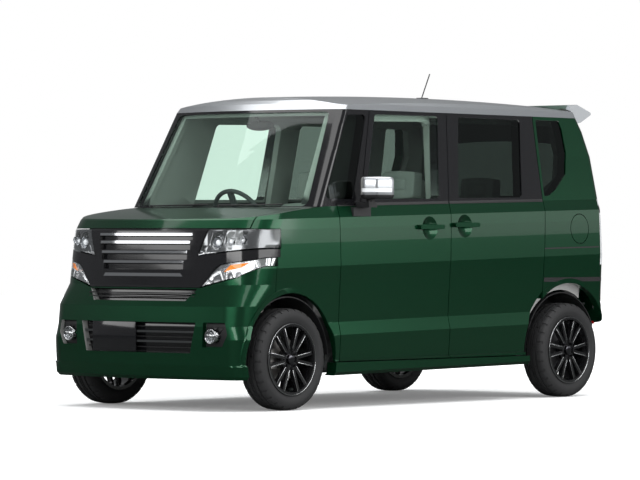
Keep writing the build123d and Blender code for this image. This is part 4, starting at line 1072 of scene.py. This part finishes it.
SEAT_ROWS = (
    ("front_seats", 0.325, -0.400, 0.580, 0.50, 0.56),
    ("rear_seats", 0.290, 0.385, 0.590, 0.48, 0.52),
)
CUSHION = (0.50, 0.135)
CUSHION_BACK = 0.250
CUSHION_RISE = 0.018
BACK_THICK = 0.130
BACK_AT = 0.548
BACK_RISE = 0.01
BACK_NARROWER = 0.01
BACK_TALLER = 0.02
BACK_LEAN = math.radians(-13)
HEAD_REST = (0.255, 0.085, 0.160)
HEAD_REST_AT = 0.622
HEAD_REST_RISE = 0.115
HEAD_REST_LEAN = math.radians(-5)
PAD_CUTS = 7
PAD_FLAT = 0.9
PAD_PANEL = 0.55
PAD_SEAM = 0.010
PAD_CROWN = 0.16
PLINTH_HALF = 0.18
PLINTH_SPAN = (0.06, 0.44)
PLINTH_LOW = 0.3125
PLINTH_GAP = 0.045
PLINTH_EDGE = 0.02
POST_HALF = 0.04
POST_RADIUS = 0.006
POST_SPAN = (-0.03, 0.06)
POST_SIDES = 12


def pad(centre, size, seam, lean=0.0):
    """A crowned seat pad with a sunk seam round its middle panel."""
    piece = box([-d / 2 for d in size], [d / 2 for d in size])
    edit_all()
    bpy.ops.mesh.subdivide(number_cuts=PAD_CUTS)
    bpy.ops.mesh.select_all(action="DESELECT")
    edit_done()
    thin = size.index(min(size))
    wide = [axis for axis in range(3) if axis != thin]
    for face in piece.data.polygons:
        flat = abs(face.normal[thin]) > PAD_FLAT
        inside = all(abs(face.center[axis]) < size[axis] / 2 * PAD_PANEL for axis in wide)
        face.select = flat and inside
    edit_faces()
    bpy.ops.mesh.inset(thickness=PAD_SEAM, depth=-seam)
    bpy.ops.mesh.inset(thickness=PAD_SEAM, depth=PAD_SEAM)
    edit_done()
    modify(piece, "CAST", cast_type="SPHERE", factor=PAD_CROWN)
    modify(piece, "SUBSURF", levels=1, render_levels=1)
    piece.data.transform(Matrix.Translation(centre) @ Matrix.Rotation(lean, 4, "X"))
    return piece


def seat_pads(x, front_y, hip_z, width, back, seam):
    """Cushion, back rest and head rest of one seat."""
    cushion_at = (x, front_y + CUSHION_BACK, hip_z + CUSHION_RISE)
    back_at = (x, front_y + BACK_AT, hip_z + back / 2 + BACK_RISE)
    head_at = (x, front_y + HEAD_REST_AT, hip_z + back + HEAD_REST_RISE)
    return [
        pad(cushion_at, (width, *CUSHION), seam),
        pad(back_at, (width - BACK_NARROWER, BACK_THICK, back + BACK_TALLER), seam, BACK_LEAN),
        pad(head_at, HEAD_REST, seam, HEAD_REST_LEAN),
    ]


def seat_frame(x, front_y, hip_z, back):
    """The plinth under one seat and the posts of its head rest."""
    low = (x - PLINTH_HALF, front_y + PLINTH_SPAN[0], PLINTH_LOW)
    high = (x + PLINTH_HALF, front_y + PLINTH_SPAN[1], hip_z - PLINTH_GAP)
    pieces = [box(low, high, PLINTH_EDGE)]
    post_y, top = front_y + HEAD_REST_AT, hip_z + back
    for post_x in (x - POST_HALF, x + POST_HALF):
        foot, head = (post_x, post_y, top + POST_SPAN[0]), (post_x, post_y, top + POST_SPAN[1])
        pieces.append(rod(foot, head, POST_RADIUS, POST_SIDES))
    return pieces


class CAR_OT_seats(bpy.types.Operator):
    """Padded seats with seams"""

    bl_idname = "car.seats"
    bl_label = "Seats"

    def execute(self, context):
        seam = context.scene.trim_look.seam_depth
        for node, x, front_y, hip_z, width, back in SEAT_ROWS:
            pads, frames = [], []
            for side in SIDES:
                pads += seat_pads(side * x, front_y, hip_z, width, back, seam)
                frames += seat_frame(side * x, front_y, hip_z, back)
            cover = settle(joined(pads), f"{node}_covers", "cloth", "car", CLOTH_EDGE)
            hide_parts(node)
            settle(joined(frames), f"{node}_frames", "moulded", "car")
        return {"FINISHED"}


# Cabin: the opening behind the windscreen as x and z, then the fittings of the dash

SCREEN_VIEW = ((-0.597, 1.064), (0.597, 1.064), (0.530, 1.636), (-0.530, 1.636))
SCREEN_VIEW_Y = (-1.02, -0.60)
DASH_SCREEN = ((-0.115, -0.618, 0.965), (0.115, -0.600, 1.020))
DASH_SCREEN_EDGE = 0.004
VENT_X = (-0.56, -0.17, 0.17, 0.56)
VENT_Y = -0.612
VENT_Z = 0.985
VENT_RADIUS = 0.034
VENT_RING = 0.004
VANE_RISES = (-0.016, 0, 0.016)
VANE_HALF = 0.030
VANE_Y = (-0.618, -0.608)
VANE_THICK = 0.003
VANE_EDGE = 0.0006
INSIDE_MIRROR = ((0.0, -0.655, 1.590), (0.105, 0.018, 0.030))
MIRROR_STALK = ((0.0, -0.655, 1.600), (0.0, -0.700, 1.650))
STALK_RADIUS = 0.008


def inner_frame():
    """The inner body, open behind the windscreen where its solid has a wall."""
    view = prism(SCREEN_VIEW, "Y", *SCREEN_VIEW_Y)
    return trimmed(copied("body_frame"), "DIFFERENCE", view)


def dash_vents():
    """Four round air vents, each with three vanes."""
    parts = []
    for x in VENT_X:
        parts.append(ring((x, VENT_Y, VENT_Z), ACROSS, VENT_RADIUS, VENT_RING))
        for rise in VANE_RISES:
            low = (x - VANE_HALF, VANE_Y[0], VENT_Z + rise)
            high = (x + VANE_HALF, VANE_Y[1], VENT_Z + rise + VANE_THICK)
            parts.append(box(low, high, VANE_EDGE))
    return joined(parts)


class CAR_OT_cabin(bpy.types.Operator):
    """Inner body, dashboard fittings and the inside mirror"""

    bl_idname = "car.cabin"
    bl_label = "Cabin"

    def execute(self, context):
        inner = settle(inner_frame(), "inner_frame", "shell", "car")
        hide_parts("body_frame")
        settle(box(*DASH_SCREEN, DASH_SCREEN_EDGE), "dash_screen", "black_gloss", "car")
        settle(dash_vents(), "dash_vents", "dark_chrome", "car")
        mirror = [ball(*INSIDE_MIRROR), rod(*MIRROR_STALK, STALK_RADIUS, 16)]
        settle(joined(mirror), "inside_mirror", "black_trim", "car")
        return {"FINISHED"}


# Rear trim: blocks as two corners and a bevel, and bars as two ends, a radius and sides

GARNISH = ((-0.33, 1.676, 0.760), (0.33, 1.692, 0.792), 0.006, 3)
REAR_PLATE = ((-0.165, 1.680, 0.620), (0.165, 1.6955, 0.712), 0.003)
STOP_LAMP = ((-0.11, 1.6950, 1.7000), (0.11, 1.7000, 1.7080), 0.001)
WIPER_ARM = ((0.0, 1.678, 1.190), (-0.28, 1.676, 1.245), 0.006, 16, 0.004)
WIPER_BLADE = ((-0.09, 1.668, 1.215), (-0.40, 1.664, 1.262), 0.005, 12)
WIPER_PIVOT = ((0.0, 1.640, 1.190), (0.0, 1.690, 1.190), 0.014, 24, 0.011)
REFLECTOR_X = 0.60
REFLECTOR_HALF = 0.035
REFLECTOR_Y = (1.676, 1.688)
REFLECTOR_Z = (0.430, 0.462)
REFLECTOR_EDGE = 0.004


def tailgate_wiper():
    """The wiper's arm, blade and pivot."""
    return joined([rod(*bar) for bar in (WIPER_ARM, WIPER_BLADE, WIPER_PIVOT)])


def rear_reflectors():
    """The two red reflectors in the bumper."""
    blocks = []
    for side in SIDES:
        middle = side * REFLECTOR_X
        low = (middle - REFLECTOR_HALF, REFLECTOR_Y[0], REFLECTOR_Z[0])
        high = (middle + REFLECTOR_HALF, REFLECTOR_Y[1], REFLECTOR_Z[1])
        blocks.append(box(low, high, REFLECTOR_EDGE))
    return joined(blocks)


class CAR_OT_rear_trim(bpy.types.Operator):
    """Tailgate wiper, garnish, blank plate, stop lamp and reflectors"""

    bl_idname = "car.rear_trim"
    bl_label = "Rear trim"

    def execute(self, context):
        settle(box(*GARNISH), "tailgate_garnish", "chrome", "tailgate")
        settle(box(*REAR_PLATE), "rear_blank_plate", "white", "tailgate")
        settle(tailgate_wiper(), "tailgate_wiper", "black_trim", "tailgate")
        settle(box(*STOP_LAMP), "high_stop_lamp", "red", "tailgate")
        settle(rear_reflectors(), "rear_reflectors", "red", "car")
        return {"FINISHED"}


# Stage: the camera, then each light's name, place, size, power and aim

CAMERA_PLACE = (14.712, -17.234, 0.950)
CAMERA_LIFT = 0.035
CAMERA_ROLL = -0.097
SENSOR = 36.0
CAMERA_FAR = 200.0
SKY_COLOUR = (0.80, 0.82, 0.84, 1)
FLOOR_SIZE = 60
FLOOR_WHITE = (0.93, 0.93, 0.93)
FLOOR_MIRRORED = (0.05, 0.055, 0.05)
FLOOR_FADE = (2.2, 6.5)
FLOOR_GLOW = (0.15, 0.85)
LIGHTS = (
    ("roof_light", (0.5, 0.0, 6.0), (8.0, 10.0), 620, (0, 0, 0)),
    ("side_light", (7.5, 1.5, 2.7), (9.0, 2.6), 230, (0, 0.3, 1.3)),
    ("front_light", (2.5, -8.0, 3.0), (5.0, 2.0), 170, (0, 0, 1.0)),
    ("side_sheen", (7.2, 7.7, 1.95), (9.0, 1.1), 36, (0.7, 0.0, 1.0)),
    ("nose_sheen", (-6.5, -9.3, 2.9), (6.0, 1.4), 80, (0.0, -1.7, 0.9)),
)


def add_camera(scene, look):
    """The camera where the photograph was taken."""
    bpy.ops.object.camera_add(location=CAMERA_PLACE)
    camera = bpy.context.object
    tilt = math.radians(90 - CAMERA_LIFT)
    camera.rotation_euler = (tilt, math.radians(CAMERA_ROLL), look.azimuth)
    camera.data.lens = look.focal
    camera.data.sensor_width = SENSOR
    camera.data.clip_end = CAMERA_FAR
    camera.data.dof.use_dof = False
    scene.camera = camera


def add_sky(scene, look):
    """Even light all round, weaker in reflections and white where the camera sees it."""
    world = bpy.data.worlds.new("studio")
    scene.world = world
    world.use_nodes = True
    tree = world.node_tree
    shade = tree.nodes["Background"]
    mirrored_sky = tree.nodes.new("ShaderNodeBackground")
    seen = tree.nodes.new("ShaderNodeBackground")
    backgrounds = (
        (shade, SKY_COLOUR, look.sky), (mirrored_sky, SKY_COLOUR, look.mirrored_sky),
        (seen, (1, 1, 1, 1), 1.0),
    )
    for background, colour, strength in backgrounds:
        background.inputs["Color"].default_value = colour
        background.inputs["Strength"].default_value = strength
    path = tree.nodes.new("ShaderNodeLightPath")
    result = shade
    for ray, other in (("Is Glossy Ray", mirrored_sky), ("Is Camera Ray", seen)):
        mix = tree.nodes.new("ShaderNodeMixShader")
        tree.links.new(path.outputs[ray], mix.inputs[0])
        tree.links.new(result.outputs[0], mix.inputs[1])
        tree.links.new(other.outputs[0], mix.inputs[2])
        result = mix
    tree.links.new(result.outputs[0], tree.nodes["World Output"].inputs["Surface"])


def floor_finish():
    """White to the camera with the car's soft shadow on it, and dark in the paint's reflections."""
    finish = Finish("floor_white", FLOOR_WHITE, 0.9, Emission_Strength=1.0)
    path = finish.node("ShaderNodeLightPath")
    glossy = Value(finish.tree, path.outputs["Is Glossy Ray"])
    seen = Value(finish.tree, path.outputs["Is Camera Ray"])
    finish.feed("Base Color", finish.mixed(glossy, FLOOR_WHITE, FLOOR_MIRRORED))
    away = finish.node("ShaderNodeVectorMath", {"operation": "LENGTH"}, Vector=finish.place)
    far = Value(finish.tree, away.outputs["Value"]).rises(*FLOOR_FADE)
    glow = seen * (far * FLOOR_GLOW[1] + FLOOR_GLOW[0])
    finish.feed("Emission Color", finish.mixed(glow, (0, 0, 0), (1, 1, 1)))
    return finish.material


def add_floor():
    """The floor under the car."""
    start()
    bpy.ops.mesh.primitive_plane_add(size=FLOOR_SIZE, location=(0, 0, 0))
    floor = bpy.context.object
    floor.name = "floor"
    floor.data.materials.append(floor_finish())


def add_light(name, place, size, power, aim):
    """A soft box that looks at a point."""
    bpy.ops.object.light_add(type="AREA", location=place)
    lamp = bpy.context.object
    lamp.name = name
    lamp.data.shape = "RECTANGLE"
    lamp.data.size, lamp.data.size_y = size
    lamp.data.energy = power
    way = Vector(aim) - Vector(place)
    lamp.rotation_euler = way.to_track_quat("-Z", "Y").to_euler()


class CAR_OT_stage(bpy.types.Operator):
    """Camera, floor and light"""

    bl_idname = "car.stage"
    bl_label = "Stage"

    def execute(self, context):
        scene = context.scene
        start()
        add_camera(scene, scene.stage_look)
        scene.view_settings.view_transform = "Standard"
        add_sky(scene, scene.stage_look)
        add_floor()
        for light in LIGHTS:
            add_light(*light)
        return {"FINISHED"}


# The add-on

LOOKS = {"body_look": BodyLook, "trim_look": TrimLook, "stage_look": StageLook}
OPERATORS = (
    CAR_OT_finishes, CAR_OT_grille, CAR_OT_lamps, CAR_OT_side_trim, CAR_OT_mirrors, CAR_OT_wheels,
    CAR_OT_seats, CAR_OT_cabin, CAR_OT_rear_trim, CAR_OT_stage,
)


class CAR_PT_panel(bpy.types.Panel):
    """Lists the car's looks in the sidebar"""

    bl_label = "Kei Car"
    bl_idname = "CAR_PT_panel"
    bl_space_type = "VIEW_3D"
    bl_region_type = "UI"
    bl_category = "Kei Car"

    def draw(self, context):
        for each in OPERATORS:
            self.layout.operator(each.bl_idname)


def register():
    """Adds the classes and their settings."""
    for each in (*LOOKS.values(), *OPERATORS, CAR_PT_panel):
        bpy.utils.register_class(each)
    for name, look in LOOKS.items():
        setattr(bpy.types.Scene, name, bpy.props.PointerProperty(type=look))


def unregister():
    """Takes the classes and their settings away."""
    for name in LOOKS:
        delattr(bpy.types.Scene, name)
    for each in reversed((*LOOKS.values(), *OPERATORS, CAR_PT_panel)):
        bpy.utils.unregister_class(each)


def main():
    """Builds the looks in order."""
    register()
    for each in OPERATORS:
        step = each.bl_idname.split(".")[1]
        if getattr(bpy.ops.car, step)() != {"FINISHED"}:
            raise RuntimeError(f"{step} did not finish")


if __name__ == "__main__":
    main()
